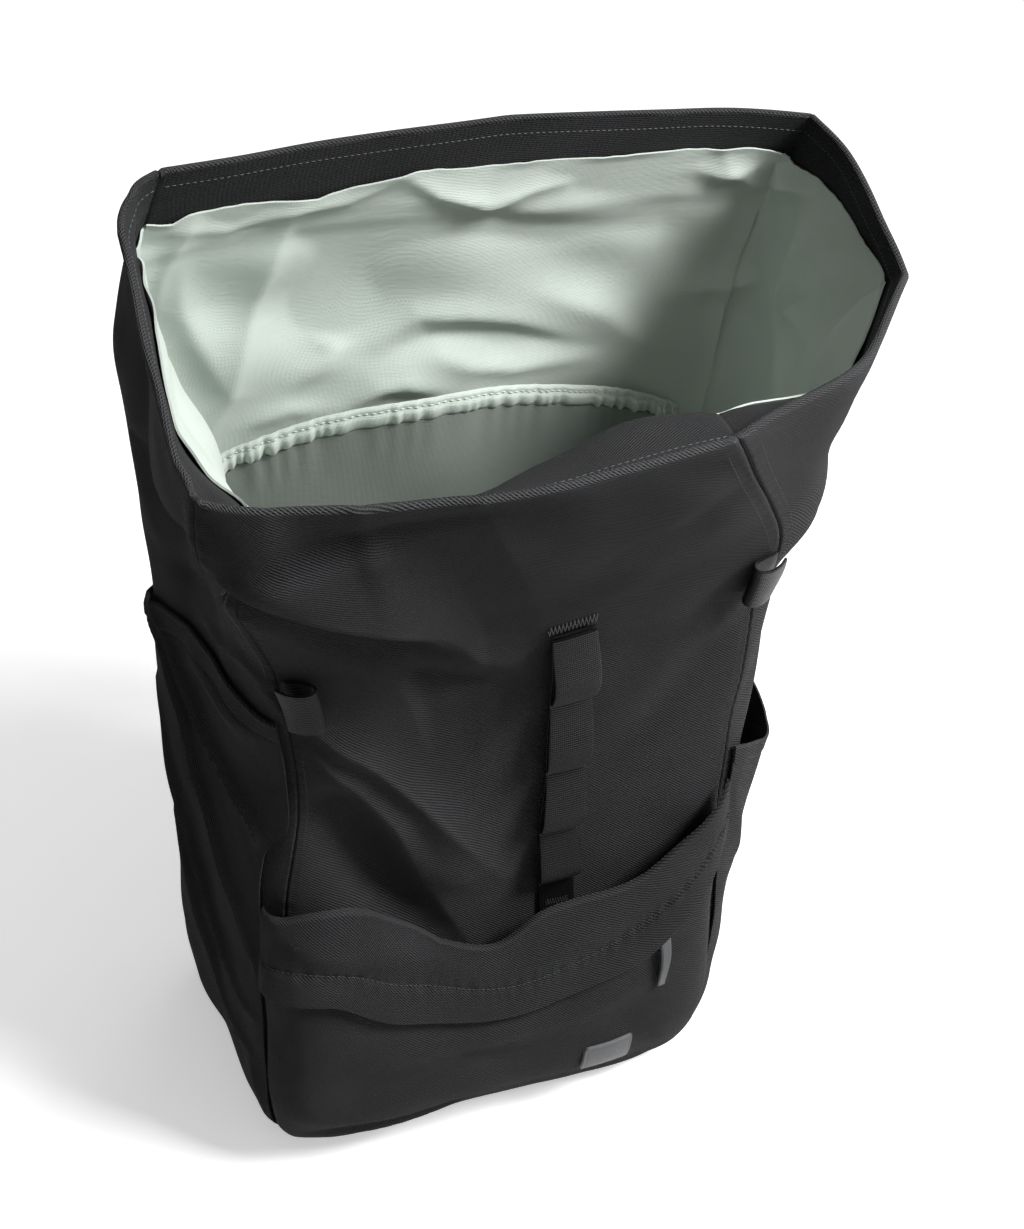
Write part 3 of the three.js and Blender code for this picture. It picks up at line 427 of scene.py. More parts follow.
def crest_of(grid, reach=3):
    """How far each point stands above the middle of its neighbours, in metres along the outward side."""
    along = np.gradient(grid, axis=0)
    up = np.gradient(grid, axis=1)
    out = unit(np.cross(up, along))
    padded = np.pad(grid, ((reach, reach), (reach, reach), (0, 0)), mode="edge")
    columns, rows = grid.shape[:2]
    sides = (padded[2 * reach:, reach:reach + rows] + padded[:columns, reach:reach + rows]
             + padded[reach:reach + columns, 2 * reach:] + padded[reach:reach + columns, :rows]) / 4
    rise = np.sum((grid - sides) * out, axis=-1)
    rise[:reach] = rise[reach:reach + 1]
    rise[-reach:] = rise[-reach - 1:-reach]
    rise[:, :reach] = rise[:, reach:reach + 1]
    rise[:, -reach:] = rise[:, -reach - 1:-reach]
    return rise


def cloth_piece(name, outer, inner, material, slot, wear_and_highlight=None, closed=False, floor=False, smooth=60):
    """A closed wall between an outer and an inner grid of points (columns, rows): both faces, the top,
    the bottom and, unless it is closed round, the two end edges. A floor closes the bottom with fans.
    UV "cloth" holds arc lengths in metres, and a point attribute how far a place is rubbed and how much painted
    highlight it gets."""
    columns, rows = outer.shape[:2]
    count = columns * rows
    o = np.arange(count).reshape(columns, rows)
    n = o + count
    nxt = np.roll(np.arange(columns), -1) if closed else np.arange(1, columns)
    cur = np.arange(columns if closed else columns - 1)
    quads = [
        np.stack([o[cur, :-1], o[cur, 1:], o[nxt, 1:], o[nxt, :-1]], -1).reshape(-1, 4),
        np.stack([n[cur, :-1], n[nxt, :-1], n[nxt, 1:], n[cur, 1:]], -1).reshape(-1, 4),
        np.stack([o[cur, -1], n[cur, -1], n[nxt, -1], o[nxt, -1]], -1),
    ]
    points = [outer.reshape(-1, 3), inner.reshape(-1, 3)]
    fans = np.zeros((0, 3), int)
    if floor:
        under, over = 2 * count, 2 * count + 1
        points += [outer[:, 0].mean(0, keepdims=True), inner[:, 0].mean(0, keepdims=True)]
        fans = np.concatenate([
            np.stack([np.full(len(cur), under), o[cur, 0], o[nxt, 0]], -1),
            np.stack([np.full(len(cur), over), n[nxt, 0], n[cur, 0]], -1),
        ])
    else:
        quads.append(np.stack([o[cur, 0], o[nxt, 0], n[nxt, 0], n[cur, 0]], -1))
    if not closed:
        quads.append(np.stack([o[0, :-1], n[0, :-1], n[0, 1:], o[0, 1:]], -1))
        quads.append(np.stack([o[-1, :-1], o[-1, 1:], n[-1, 1:], n[-1, :-1]], -1))
    quads = np.concatenate(quads)
    points = np.concatenate(points)
    points[:, 2] = np.maximum(points[:, 2], 0.0)
    mesh = bpy.data.meshes.new(name)
    mesh.vertices.add(len(points))
    mesh.vertices.foreach_set("co", points.ravel())
    corners = np.concatenate([quads.ravel(), fans.ravel()])
    mesh.loops.add(len(corners))
    mesh.loops.foreach_set("vertex_index", corners.astype(np.int32))
    faces = len(quads) + len(fans)
    starts = np.concatenate([np.arange(len(quads)) * 4, len(quads) * 4 + np.arange(len(fans)) * 3])
    mesh.polygons.add(faces)
    mesh.polygons.foreach_set("loop_start", starts.astype(np.int32))
    mesh.polygons.foreach_set("use_smooth", np.ones(faces, bool))
    mesh.update(calc_edges=True)
    flat = arc_map(outer).reshape(-1, 2)
    flat = np.concatenate([flat, flat, np.zeros((len(points) - 2 * count, 2))])
    mesh.uv_layers.new(name="cloth").data.foreach_set("uv", flat[corners].ravel())
    rubbed_and_lit = np.zeros(len(points))
    if wear_and_highlight is not None:
        rubbed_and_lit[:count] = wear_and_highlight.ravel()
    mesh.attributes.new("wear_and_highlight", "FLOAT", "POINT").data.foreach_set("value", rubbed_and_lit)
    if smooth:
        mesh.set_sharp_from_angle(angle=math.radians(smooth))
    return placed(mesh, name, material)


def placed(mesh, name, material):
    """The mesh as an object at the origin that rides with the bag and takes the given material."""
    mesh.materials.append(material)
    piece = bpy.data.objects.new(name, mesh)
    bpy.context.collection.objects.link(piece)
    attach(piece, "root")
    return piece


class Shader:
    """One node material, built a node at a time; wires are given by socket name."""

    def __init__(self, name):
        self.material = bpy.data.materials.new(name)
        self.material.use_nodes = True
        self.tree = self.material.node_tree
        self.surface = self.tree.nodes["Principled BSDF"]

    def node(self, kind, settings=None, **wires):
        """A node of a kind, with its settings and its inputs set to a value or wired to a socket."""
        made = self.tree.nodes.new("ShaderNode" + kind)
        for key, value in (settings or {}).items():
            setattr(made, key, value)
        for key, value in wires.items():
            socket = made.inputs[int(key[1:])] if key[0] == "i" and key[1:].isdigit() else \
                made.inputs[key.replace("_", " ")]
            if isinstance(value, bpy.types.NodeSocket):
                self.tree.links.new(value, socket)
            else:
                socket.default_value = value
        return made

    def math(self, operation, a, b=0.0, c=0.0):
        """The result of one math step."""
        return self.node("Math", {"operation": operation}, i0=a, i1=b, i2=c).outputs[0]

    def noise(self, where, scale, detail=3.0, roughness=0.5):
        """Noise between 0 and 1 at a scale in steps a metre."""
        return self.node("TexNoise", None, Vector=where, Scale=scale, Detail=detail,
                         Roughness=roughness).outputs["Fac"]

    def ramp(self, value, *stops):
        """Colours or greys at positions along a value."""
        made = self.node("ValToRGB", None, Fac=value)
        ends = made.color_ramp.elements
        while len(ends) < len(stops):
            ends.new(0.5)
        for end, (position, colour) in zip(ends, stops):
            end.position = position
            end.color = (*colour, 1) if hasattr(colour, "__len__") else (colour, colour, colour, 1)
        return made.outputs["Color"]

    def blend(self, share, a, b):
        """Colour a where the share is 0, colour b where it is 1."""
        made = self.node("Mix", {"data_type": "RGBA"})
        for socket, value in ((made.inputs[0], share), (made.inputs[6], a), (made.inputs[7], b)):
            if isinstance(value, bpy.types.NodeSocket):
                self.tree.links.new(value, socket)
            else:
                socket.default_value = value
        return made.outputs[2]

    def finish(self, colour, height=None, depth=0.0003, roughness=0.8, **fixed):
        """Wires the colour and the bump into the surface and sets its fixed numbers."""
        links = self.tree.links
        links.new(colour, self.surface.inputs["Base Color"])
        if isinstance(roughness, bpy.types.NodeSocket):
            links.new(roughness, self.surface.inputs["Roughness"])
        else:
            self.surface.inputs["Roughness"].default_value = roughness
        if height is not None:
            bump = self.node("Bump", None, Strength=1.0, Distance=depth, Height=height)
            links.new(bump.outputs["Normal"], self.surface.inputs["Normal"])
        for key, value in fixed.items():
            self.surface.inputs[key.replace("_", " ")].default_value = value
        return self.material


TWILL_RIB = 0.00145
TWILL_THREAD = 0.0011
TWILL_DARK = (0.0098, 0.0099, 0.0106)
TWILL_LIGHT = (0.0480, 0.0483, 0.0505)
# The worn grey stands both for rubbed cloth and for painted highlight on crests and along the rim.
TWILL_WORN_AND_LIT = (0.100, 0.101, 0.105)


def twill_cloth(name, dark=TWILL_DARK, light=TWILL_LIGHT, worn_and_lit=TWILL_WORN_AND_LIT, turn=0.86):
    """Cotton twill: slanted ribs with uneven threads across them, faded patches, lint, and a grey blend where
    the attribute marks rubbed cloth and painted highlight on crests and along the rim."""
    cloth = Shader(name)
    uv = cloth.node("UVMap", {"uv_map": "cloth"}).outputs["UV"]
    turned = cloth.node("Mapping", None, Vector=uv, Rotation=(0, 0, turn)).outputs["Vector"]
    ribs = cloth.node("TexWave", {"wave_type": "BANDS", "bands_direction": "X"}, Vector=turned,
                      Scale=0.1 * math.pi / TWILL_RIB, Distortion=1.2, Detail=2.0,
                      Detail_Scale=0.7).outputs["Fac"]
    threads = cloth.node("TexWave", {"wave_type": "BANDS", "bands_direction": "Y"}, Vector=uv,
                         Scale=0.1 * math.pi / TWILL_THREAD, Distortion=1.6, Detail=2.0,
                         Detail_Scale=0.9).outputs["Fac"]
    patches = cloth.noise(uv, 14.0, 4.0, 0.6)
    grain = cloth.noise(uv, 900.0, 2.0, 0.7)
    wear_and_highlight = cloth.node("Attribute", {"attribute_name": "wear_and_highlight"}).outputs["Fac"]
    # Rubbed wear and painted highlight: the attribute blends in the lighter grey on crests and the rim.
    rubbed_and_lit = cloth.math("MULTIPLY", wear_and_highlight, cloth.math("MULTIPLY_ADD", ribs, 0.45, grain))
    rib_tone = cloth.math("MULTIPLY_ADD", ribs, 0.55, cloth.math("MULTIPLY", threads, 0.35))
    tone = cloth.math("ADD", rib_tone, cloth.math("MULTIPLY_ADD", patches, 0.55, -0.25))
    tone = cloth.math("ADD", tone, cloth.math("MULTIPLY_ADD", grain, 0.9, -0.50))
    plain = cloth.blend(tone, (*dark, 1), (*light, 1))
    plain = cloth.blend(rubbed_and_lit, plain, (*worn_and_lit, 1))
    lint = cloth.node("TexVoronoi", {"feature": "F1"}, Vector=uv, Scale=150.0).outputs["Distance"]
    specks = cloth.ramp(cloth.math("ADD", lint, cloth.math("MULTIPLY", patches, 0.16)),
                        (0.0, 1.0), (0.120, 1.0), (0.135, 0.0))
    rare = cloth.ramp(cloth.noise(uv, 60.0, 1.0, 0.4), (0.0, 0.0), (0.60, 0.0), (0.66, 0.5))
    colour = cloth.blend(cloth.math("MULTIPLY", specks, rare), plain, (0.16, 0.16, 0.165, 1))
    height = cloth.math("ADD", cloth.math("MULTIPLY", ribs, 0.8), cloth.math("MULTIPLY", threads, 0.5))
    height = cloth.math("ADD", height, cloth.math("MULTIPLY", grain, 0.7))
    return cloth.finish(colour, height, 0.00060, 0.82, Sheen_Weight=0.03, Sheen_Roughness=0.4,
                        Specular_IOR_Level=0.08)


black_twill = twill_cloth("black_twill")
CLOTH = 0.0010
TURN = (FABRIC + 0.0006 + 0.0012) / 2
FOOT = 0.0033
SEAM_FINE = (0.0002, 0.0007, 0.0012, 0.0018, 0.0027, 0.0038, 0.0054)
turn_steps = np.linspace(0, math.pi, 9)[1:]


def panel_grids(start, end, columns, rows):
    """Outer and inner grids of a body panel: up the shell, then a half circle over the rim to the inside."""
    station = spaced(start, end, columns, SEAM_FINE)[:, None]
    level = np.linspace(FOOT / RIM_HEIGHT, 1, rows)[None, :]
    dip = seam_dip(station + 0 * level, level + 0 * station)
    skin = layer(station + 0 * level, level + 0 * station, dip, creased_shell)
    under = layer(station + 0 * level, level + 0 * station, dip - CLOTH, creased_shell)
    rim = skin[:, -1]
    out = shell_out(station[:, 0], np.ones(len(station)), creased_shell)
    up = unit(skin[:, -1] - skin[:, -3])
    grids = []
    for lower, depth in ((skin, 0), (under, CLOTH)):
        radius = TURN - depth
        over = [rim - out * (TURN - radius * math.cos(a)) + up * radius * math.sin(a) for a in turn_steps]
        grids.append(np.concatenate([lower, np.stack(over, axis=1)], axis=1))
    return grids


def worn_and_lit(grid, gain=240, rim=0.0, rows_over=len(turn_steps)):
    """Wear and painted highlight on a panel: its crests as rubbed, lit ridges, and a band along the rolled rim as its
    rubbed, lit edge.
    """
    wear_and_highlight = np.clip((crest_of(grid) - 0.00022) * gain, 0, 0.22)
    level = np.clip((np.arange(grid.shape[1]) - (grid.shape[1] - rows_over - 6)) / 6, 0, 1)
    fade = np.clip((grid.shape[1] - np.arange(grid.shape[1])) / 5, 0, 1)
    return np.clip(wear_and_highlight + rim * (level * fade)[None, :], 0, 1)


grids = panel_grids(FRONT_RIGHT, FRONT_LEFT, 165, 240)
# The front's crests and rolled rim get rubbed wear and painted highlight.
front_panel = cloth_piece("front_cloth", *grids, black_twill, "twill", worn_and_lit(grids[0], rim=0.34))
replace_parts(front_panel, "front_panel")


# Side and back panels
# Three more lengths of the same twill, sewn to the front and to each other in four upright seams. The
# mouth is folded over to the inside all round.
# Each panel's crests and rim get rubbed wear and painted highlight, the rim by the given share.
for name, node, start, end, columns, rim_wear_and_highlight in (
    ("right_cloth", "side_panel_right", BACK_RIGHT, FRONT_RIGHT, 90, 0.25),
    ("left_cloth", "side_panel_left", FRONT_LEFT, STATIONS, 120, 0.25),
    ("back_cloth", "back_panel", BACK_LEFT, BACK_RIGHT, 90, 0.25),
):
    grids = panel_grids(start, end, columns, 200)
    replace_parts(cloth_piece(name, *grids, black_twill, "twill", worn_and_lit(grids[0], rim=rim_wear_and_highlight)), node)


# Base panel
# A stiff board covered in the same twill, set inside the foot of the four panels.
ring = np.concatenate([
    np.linspace(start, end, 40, endpoint=False)
    for start, end in ((BACK_LEFT, BACK_RIGHT), (BACK_RIGHT, FRONT_RIGHT), (FRONT_RIGHT, FRONT_LEFT), (FRONT_LEFT, STATIONS))
])
foot_ring = layer(ring, np.full(len(ring), FOOT / RIM_HEIGHT), -0.0004)
middle = foot_ring.mean(axis=0)


def base_rows(rows):
    """Rings round the base: each shrunk towards the middle by its share, at its own height."""
    return np.stack([np.column_stack([mix(middle, foot_ring, share)[:, :2], np.full(len(ring), z)])
                     for share, z in rows], axis=1)


base = cloth_piece("base_cloth", base_rows([(0.965, 0.0), (0.990, 0.0006), (1.0, 0.0018), (0.999, 0.0029)]),
                   base_rows([(0.955, 0.0014), (0.965, 0.0020), (0.970, 0.0025), (0.975, 0.0030)]),
                   black_twill, "twill", closed=True, floor=True)
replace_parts(base, "base_panel")


# Lining
# A loose sage green cotton bag inside the body. Its raw top edge is turned over the black facing, wavy and
# a little fuzzy, and the cloth is wrinkled where the bag has been rolled.
LINING_SKIN = FABRIC + 0.0006
LINING = 0.0010
LINING_LAP = 0.0016
# station and level of the wavy top edge
LINING_EDGE = np.array([
    (0.00, 0.955), (0.09, 0.950), (0.14, 0.955), (0.30, 0.957), (0.51, 0.955), (0.75, 0.965), (0.92, 0.961),
    (1.30, 0.963), (1.63, 0.967), (1.93, 0.968), (2.10, 0.960), (2.40, 0.970), (2.70, 0.978), (2.95, 0.984),
    (3.20, 0.975), (3.50, 0.962), (3.85, 0.953), (4.12, 0.937), (5.30, 0.937), (5.70, 0.946), (6.00, 0.948), (6.60, 0.948), (7.20, 0.952),
    (7.70, 0.950), (8.00, 0.955),
])
# depth towards the inside of the bag, width, sharpness, then stations and levels
LINING_FOLDS = [
    (0.0080, 0.0080, 1.2, [(0.46, 0.940), (0.45, 0.876), (0.42, 0.829), (0.35, 0.772), (0.24, 0.725), (0.15, 0.69)]),
    (-0.0045, 0.0180, 2.0, [(0.66, 0.930), (0.62, 0.860), (0.60, 0.780)]),
    (0.0030, 0.0045, 1.5, [(0.10, 0.944), (0.29, 0.932), (0.47, 0.946), (0.60, 0.945), (0.74, 0.962)]),
    (-0.0040, 0.0085, 1.6, [(0.34, 0.928), (0.59, 0.914), (0.88, 0.911), (1.29, 0.891), (1.60, 0.890)]),
    (0.0035, 0.0080, 1.6, [(0.60, 0.932), (0.90, 0.930), (1.20, 0.915), (1.50, 0.912)]),
    (0.0040, 0.0045, 1.3, [(0.74, 0.963), (0.86, 0.940), (1.02, 0.926), (1.15, 0.938), (1.24, 0.941)]),
    (-0.0030, 0.0055, 1.5, [(0.80, 0.940), (1.00, 0.915), (1.20, 0.925)]),
    (0.0048, 0.0075, 1.5, [(0.79, 0.800), (0.91, 0.819), (1.05, 0.817), (1.21, 0.806), (1.38, 0.782)]),
    (-0.0035, 0.0070, 1.6, [(0.80, 0.784), (0.95, 0.800), (1.10, 0.798), (1.26, 0.786), (1.45, 0.768)]),
    (0.0035, 0.0050, 1.5, [(0.57, 0.772), (0.63, 0.785), (0.66, 0.796), (0.61, 0.806)]),
    (0.0040, 0.0055, 1.4, [(0.70, 0.742), (0.79, 0.758), (0.86, 0.760), (0.97, 0.748)]),
    (-0.0030, 0.0050, 1.5, [(0.72, 0.730), (0.82, 0.742), (0.95, 0.735)]),
    (0.0040, 0.0050, 1.4, [(0.97, 0.778), (1.08, 0.765), (1.22, 0.758), (1.44, 0.760)]),
    (0.0035, 0.0060, 1.5, [(0.40, 0.732), (0.52, 0.745), (0.62, 0.742)]),
    (0.0040, 0.0080, 1.5, [(1.30, 0.826), (1.50, 0.800), (1.66, 0.760)]),
    (0.0045, 0.0070, 1.5, [(0.17, 0.900), (0.22, 0.850), (0.30, 0.802), (0.34, 0.775)]),
    (0.0035, 0.0055, 1.4, [(0.12, 0.861), (0.11, 0.898), (0.14, 0.931), (0.16, 0.948)]),
    (0.0040, 0.0060, 1.4, [(1.72, 0.965), (1.77, 0.945), (1.90, 0.931), (2.12, 0.934), (2.32, 0.958)]),
    (0.0055, 0.0065, 1.4, [(1.93, 0.970), (2.02, 0.955), (2.13, 0.940), (2.30, 0.950)]),
    (-0.0040, 0.0060, 1.6, [(1.98, 0.972), (2.15, 0.962), (2.28, 0.964)]),
    (0.0090, 0.0095, 1.3, [(2.42, 0.930), (2.50, 0.890), (2.66, 0.850), (2.90, 0.860)]),
    (-0.0080, 0.0150, 1.7, [(2.02, 0.925), (2.23, 0.898), (2.38, 0.860), (2.58, 0.830), (2.96, 0.870)]),
    (0.0050, 0.0070, 1.5, [(1.76, 0.815), (1.90, 0.824), (2.08, 0.827), (2.30, 0.845)]),
    (0.0040, 0.0060, 1.5, [(1.66, 0.947), (1.76, 0.941), (1.88, 0.950)]),
    (0.0065, 0.0095, 1.4, [(3.05, 0.965), (3.25, 0.900), (3.45, 0.820)]),
    (-0.0050, 0.0120, 1.7, [(2.85, 0.950), (3.02, 0.890), (3.20, 0.820)]),
    (0.0040, 0.0120, 1.8, [(4.60, 0.900), (5.00, 0.860), (5.40, 0.870)]),
    (0.0040, 0.0120, 1.8, [(6.40, 0.920), (6.80, 0.860), (7.20, 0.850)]),
]
SAGE_LIGHT = (0.550, 0.605, 0.555)
SAGE_DARK = (0.435, 0.490, 0.442)


# station, sag inwards and lift (metres) of the turned-in mouth, where it lies slack over the wall
SAG = np.array([
    (3.20, 0.000, 0.000), (3.60, 0.005, 0.003), (3.95, 0.020, 0.011), (4.35, 0.029, 0.016), (4.80, 0.021, 0.012),
    (5.25, 0.008, 0.004), (5.65, 0.000, 0.000),
])


def inside(station, level, depth):
    """A point inside the creased shell, with the turned-in mouth's sag: it leans into the bag and lifts,
    most a little below the rim, and comes back to the wall further down."""
    s = np.mod(station, STATIONS)
    hold = ease((1 - level) / 0.050) * ease((level - 0.76) / 0.16)
    held = np.clip(s, SAG[0, 0], SAG[-1, 0])
    into, lift = (through(SAG[:, 0], SAG.T, k, held) * hold for k in (1, 2))
    wall = layer(station, level, -depth, inner_shell)
    middle = unit(-wall[..., :2])
    return wall + np.concatenate([middle * into[..., None], lift[..., None]], axis=-1)


def lining_top(station):
    """Level of the lining's raw edge at a station, with small waves between the noted places."""
    s = np.mod(station, STATIONS)
    return (np.interp(s, *LINING_EDGE.T) + 0.0008 * np.sin(s * 11 + np.sin(s * 7))
            + 0.0003 * np.sin(s * 61 + 2 * np.sin(s * 23)))


def lining_depth(station, level):
    """How far the lining's outer skin stands inside the body: its folds, and the lap over the facing."""
    s = np.mod(station, STATIONS)
    fold = 0.0012 * np.sin(s * 9 + 3 * np.sin(level * 14)) * np.sin(level * 40 + 1.5 * np.sin(s * 4))
    for depth, width, sharpness, path in LINING_FOLDS:
        near = [(a * STATION_RUN, v * RIM_HEIGHT) for a, v in path]
        fold = fold + depth * trail(s * STATION_RUN, level * RIM_HEIGHT, near, width, sharpness)
    lap = LINING_LAP * ease((level - 0.908) / 0.016)
    curl = 0.0005 * ease((level - lining_top(station) + 0.006) / 0.006) * (1 + np.sin(s * 19 + np.sin(s * 11)))
    body = np.maximum(fold + 0.0022 * ease((0.94 - level) / 0.05), 0.0)
    body = body + 0.0030 * np.exp(-(near_seam(station) / 0.008)**2) * ease((0.935 - level) / 0.02)
    return LINING_SKIN + lap + curl + body * ease((level - 0.012) / 0.05)


def lining_cup(thick):
    """The lining as a closed ring of columns from its floor to its wavy edge."""
    s = ring_fine[:, None]
    share = lining_rows[None, :]
    level = mix(FOOT / RIM_HEIGHT, lining_top(s), share)
    s = s + 0 * level
    cup = inside(s, level, lining_depth(s, level) + thick)
    cup[:, 0, 2] = FOOT + thick + 0.0002
    return cup


def cotton(name, light, dark, roughness=0.85):
    """Plain woven cotton: fine crossed threads, soft cloudy tone and a faint sheen."""
    cloth = Shader(name)
    uv = cloth.node("UVMap", {"uv_map": "cloth"}).outputs["UV"]
    over = cloth.node("TexWave", {"wave_type": "BANDS", "bands_direction": "X"}, Vector=uv,
                      Scale=0.1 * math.pi / 0.0007, Distortion=1.5, Detail=2.0, Detail_Scale=0.8).outputs["Fac"]
    under = cloth.node("TexWave", {"wave_type": "BANDS", "bands_direction": "Y"}, Vector=uv,
                       Scale=0.1 * math.pi / 0.0008, Distortion=1.5, Detail=2.0, Detail_Scale=0.8).outputs["Fac"]
    weave = cloth.math("MULTIPLY_ADD", over, 0.5, cloth.math("MULTIPLY", under, 0.5))
    clouds = cloth.noise(uv, 22.0, 5.0, 0.6)
    slub = cloth.noise(cloth.node("Mapping", None, Vector=uv, Scale=(30, 700, 1)).outputs["Vector"], 1.0, 3.0, 0.6)
    wear_and_highlight = cloth.node("Attribute", {"attribute_name": "wear_and_highlight"}).outputs["Fac"]
    tone = cloth.math("ADD", cloth.math("MULTIPLY", weave, 0.30), cloth.math("MULTIPLY", clouds, 0.45))
    tone = cloth.math("ADD", tone, cloth.math("MULTIPLY", slub, 0.30))
    plain = cloth.blend(tone, (*dark, 1), (*light, 1))
    # Lighter where the attribute marks rubbed wear and painted highlight.
    colour = cloth.blend(cloth.math("MULTIPLY", wear_and_highlight, 0.5), plain, (*(min(1, 1.25 * k) for k in light), 1))
    height = cloth.math("ADD", weave, cloth.math("MULTIPLY", slub, 0.7))
    return cloth.finish(colour, height, 0.00016, roughness, Sheen_Weight=0.15, Sheen_Roughness=0.5,
                        Specular_IOR_Level=0.3)


ring_fine = np.concatenate([
    np.linspace(0, 3, 230, endpoint=False), np.linspace(3, 6, 90, endpoint=False), np.linspace(6, 8, 80, endpoint=False),
])
lining_rows = np.concatenate([
    np.linspace(0, 0.6, 20, endpoint=False), np.linspace(0.6, 0.97, 78, endpoint=False), np.linspace(0.97, 1, 12),
])
sage_cotton = cotton("sage_cotton", SAGE_LIGHT, SAGE_DARK)
skin = lining_cup(0.0)
lining = cloth_piece("lining_cloth", skin, lining_cup(LINING), sage_cotton, "lining", closed=True, floor=True)
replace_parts(lining, "lining")


# Mouth facing
# The body's own twill folded over the rim to the inside, and held by one row of topstitching.
FACING_TOP = 0.0012
facing_levels = np.linspace(0.926, 1 + 0.0008 / RIM_HEIGHT, 20)[None, :]
facing_ring = np.concatenate([
    spaced(start, end, count, SEAM_FINE)[:-1] for start, end, count in (
        (BACK_LEFT, BACK_RIGHT, 90), (BACK_RIGHT, FRONT_RIGHT, 80), (FRONT_RIGHT, FRONT_LEFT, 120), (FRONT_LEFT, STATIONS, 80))
])[:, None]
facing_s = facing_ring + 0 * facing_levels
facing_v = facing_levels + 0 * facing_ring
facing_dip = -seam_dip(facing_s, facing_v) * 0.6
facing = cloth_piece(
    "facing_cloth",
    inside(facing_s, facing_v, LINING_SKIN + 0.00005),
    inside(facing_s, facing_v, LINING_SKIN + FACING_TOP - 0.00005 - facing_dip),
    black_twill, "twill", closed=True)
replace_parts(facing, "mouth_facing")


def thread_rows(name, rows, material, pitch=0.0032, length=0.0023, thick=0.00042, sink=0.3):
    """Rows of sewn stitches as one mesh. A row is (points, outs) along a line; every stitch is a short
    six-sided thread that tapers into the cloth at both ends, set one pitch after the last."""
    ring6 = np.arange(6) * math.pi / 3
    body = np.array([(-0.5, 0.35, -1.0), (-0.34, 0.85, 0.0), (0.0, 1.0, 0.35), (0.34, 0.85, 0.0), (0.5, 0.35, -1.0)])
    shape = np.array([
        (along * length, width * math.cos(a) * thick / 2, (width * math.sin(a) + lift - sink) * thick / 2)
        for along, width, lift in body for a in ring6
    ])
    corners = []
    for k in range(len(body) - 1):
        for a in range(6):
            b = (a + 1) % 6
            corners.append((6 * k + a, 6 * (k + 1) + a, 6 * (k + 1) + b, 6 * k + b))
    quads = np.array(corners)[:, ::-1]
    caps = np.array([(0, 1, 2, 3), (0, 3, 4, 5)])
    ends = 6 * (len(body) - 1)
    quads = np.concatenate([quads, caps, caps[:, ::-1] + ends])
    points, faces = [], []
    base = 0
    for line, outs in rows:
        steps = np.linalg.norm(np.diff(line, axis=0), axis=1)
        run = np.concatenate([[0], np.cumsum(steps)])
        places = np.arange(pitch / 2, run[-1], pitch)
        if not len(places):
            continue
        middle = np.stack([np.interp(places, run, line[:, k]) for k in range(3)], axis=-1)
        ahead = np.stack([np.interp(places + 0.0006, run, line[:, k]) for k in range(3)], axis=-1)
        behind = np.stack([np.interp(places - 0.0006, run, line[:, k]) for k in range(3)], axis=-1)
        along = unit(ahead - behind)
        out = unit(np.stack([np.interp(places, run, outs[:, k]) for k in range(3)], axis=-1))
        side = unit(np.cross(out, along))
        out = np.cross(along, side)
        axes = np.stack([along, side, out], axis=1)
        made = middle[:, None, :] + shape[None] @ axes
        points.append(made.reshape(-1, 3))
        faces.append((quads[None] + base + (np.arange(len(places)) * len(shape))[:, None, None]).reshape(-1, 4))
        base += made.shape[0] * made.shape[1]
    mesh = bpy.data.meshes.new(name)
    mesh.from_pydata(np.concatenate(points), [], np.concatenate(faces))
    mesh.polygons.foreach_set("use_smooth", np.ones(len(mesh.polygons), bool))
    mesh.update()
    return placed(mesh, name, material)


def thread(name, colour, roughness=0.6):
    """Spun thread: a twist of two tones along it."""
    yarn = Shader(name)
    where = yarn.node("TexCoord").outputs["Object"]
    twist = yarn.noise(where, 2600.0, 2.0, 0.6)
    tone = yarn.blend(twist, (*(0.65 * k for k in colour), 1), (*colour, 1))
    return yarn.finish(tone, twist, 0.0001, roughness)


grey_thread = thread("grey_thread", (0.115, 0.120, 0.125))
dark_thread = thread("dark_thread", (0.045, 0.047, 0.050))
black_thread = thread("black_thread", (0.020, 0.020, 0.022))
sage_thread = thread("sage_thread", (0.62, 0.70, 0.63))


def seam_line(stations, levels, distance, shape=None, within=False):
    """A line of points at a distance from the shell, with the direction that faces away from the cloth."""
    stations, levels = np.broadcast_arrays(np.asarray(stations, float), np.asarray(levels, float))
    out = shell_out(stations, levels, shape or creased_shell)
    if within:
        return inside(stations, levels, -distance), -out
    return layer(stations, levels, np.broadcast_to(distance, stations.shape), shape or creased_shell), out


facing_face = LINING_SKIN + FACING_TOP
rim_rows = []
for start, end in ((0.03, 1.97), (2.03, 3.97), (4.03, 5.97), (6.03, 7.97)):
    run = np.linspace(start, end, 160)
    rim_rows.append(seam_line(run, 1 - 0.0075 / RIM_HEIGHT, -facing_face, within=True))
thread_rows("rim_stitching", rim_rows, grey_thread)
shell_rows = []
for station, low, high in ((3.93, 0.64, 0.985), (6.06, 0.71, 0.985), (1.94, 0.62, 0.985), (0.06, 0.62, 0.985)):
    run = np.linspace(low, high, 160)
    shell_rows.append(seam_line(station, run, 0.0))
for station, low, high in ((4.07, 0.58, 0.985), (5.95, 0.47, 0.60)):
    run = np.linspace(low, high, 160)
    shell_rows.append(seam_line(station, run, 0.0))
thread_rows("seam_stitching", shell_rows, black_thread)


# Laptop sleeve and its gathered hem
# A slack sheet of the lining cloth across the back, closed at the top by a hem that elastic pulls into
# ruffles, strongest at both ends, with one row of pale stitching.
SLEEVE_HEIGHT = 0.446
SLEEVE_STAND = 0.020
SLEEVE_CURVE = 0.042
SLEEVE_INSET = 0.016
HEM_HEIGHT = 0.012
HEM_THICKNESS = 0.004
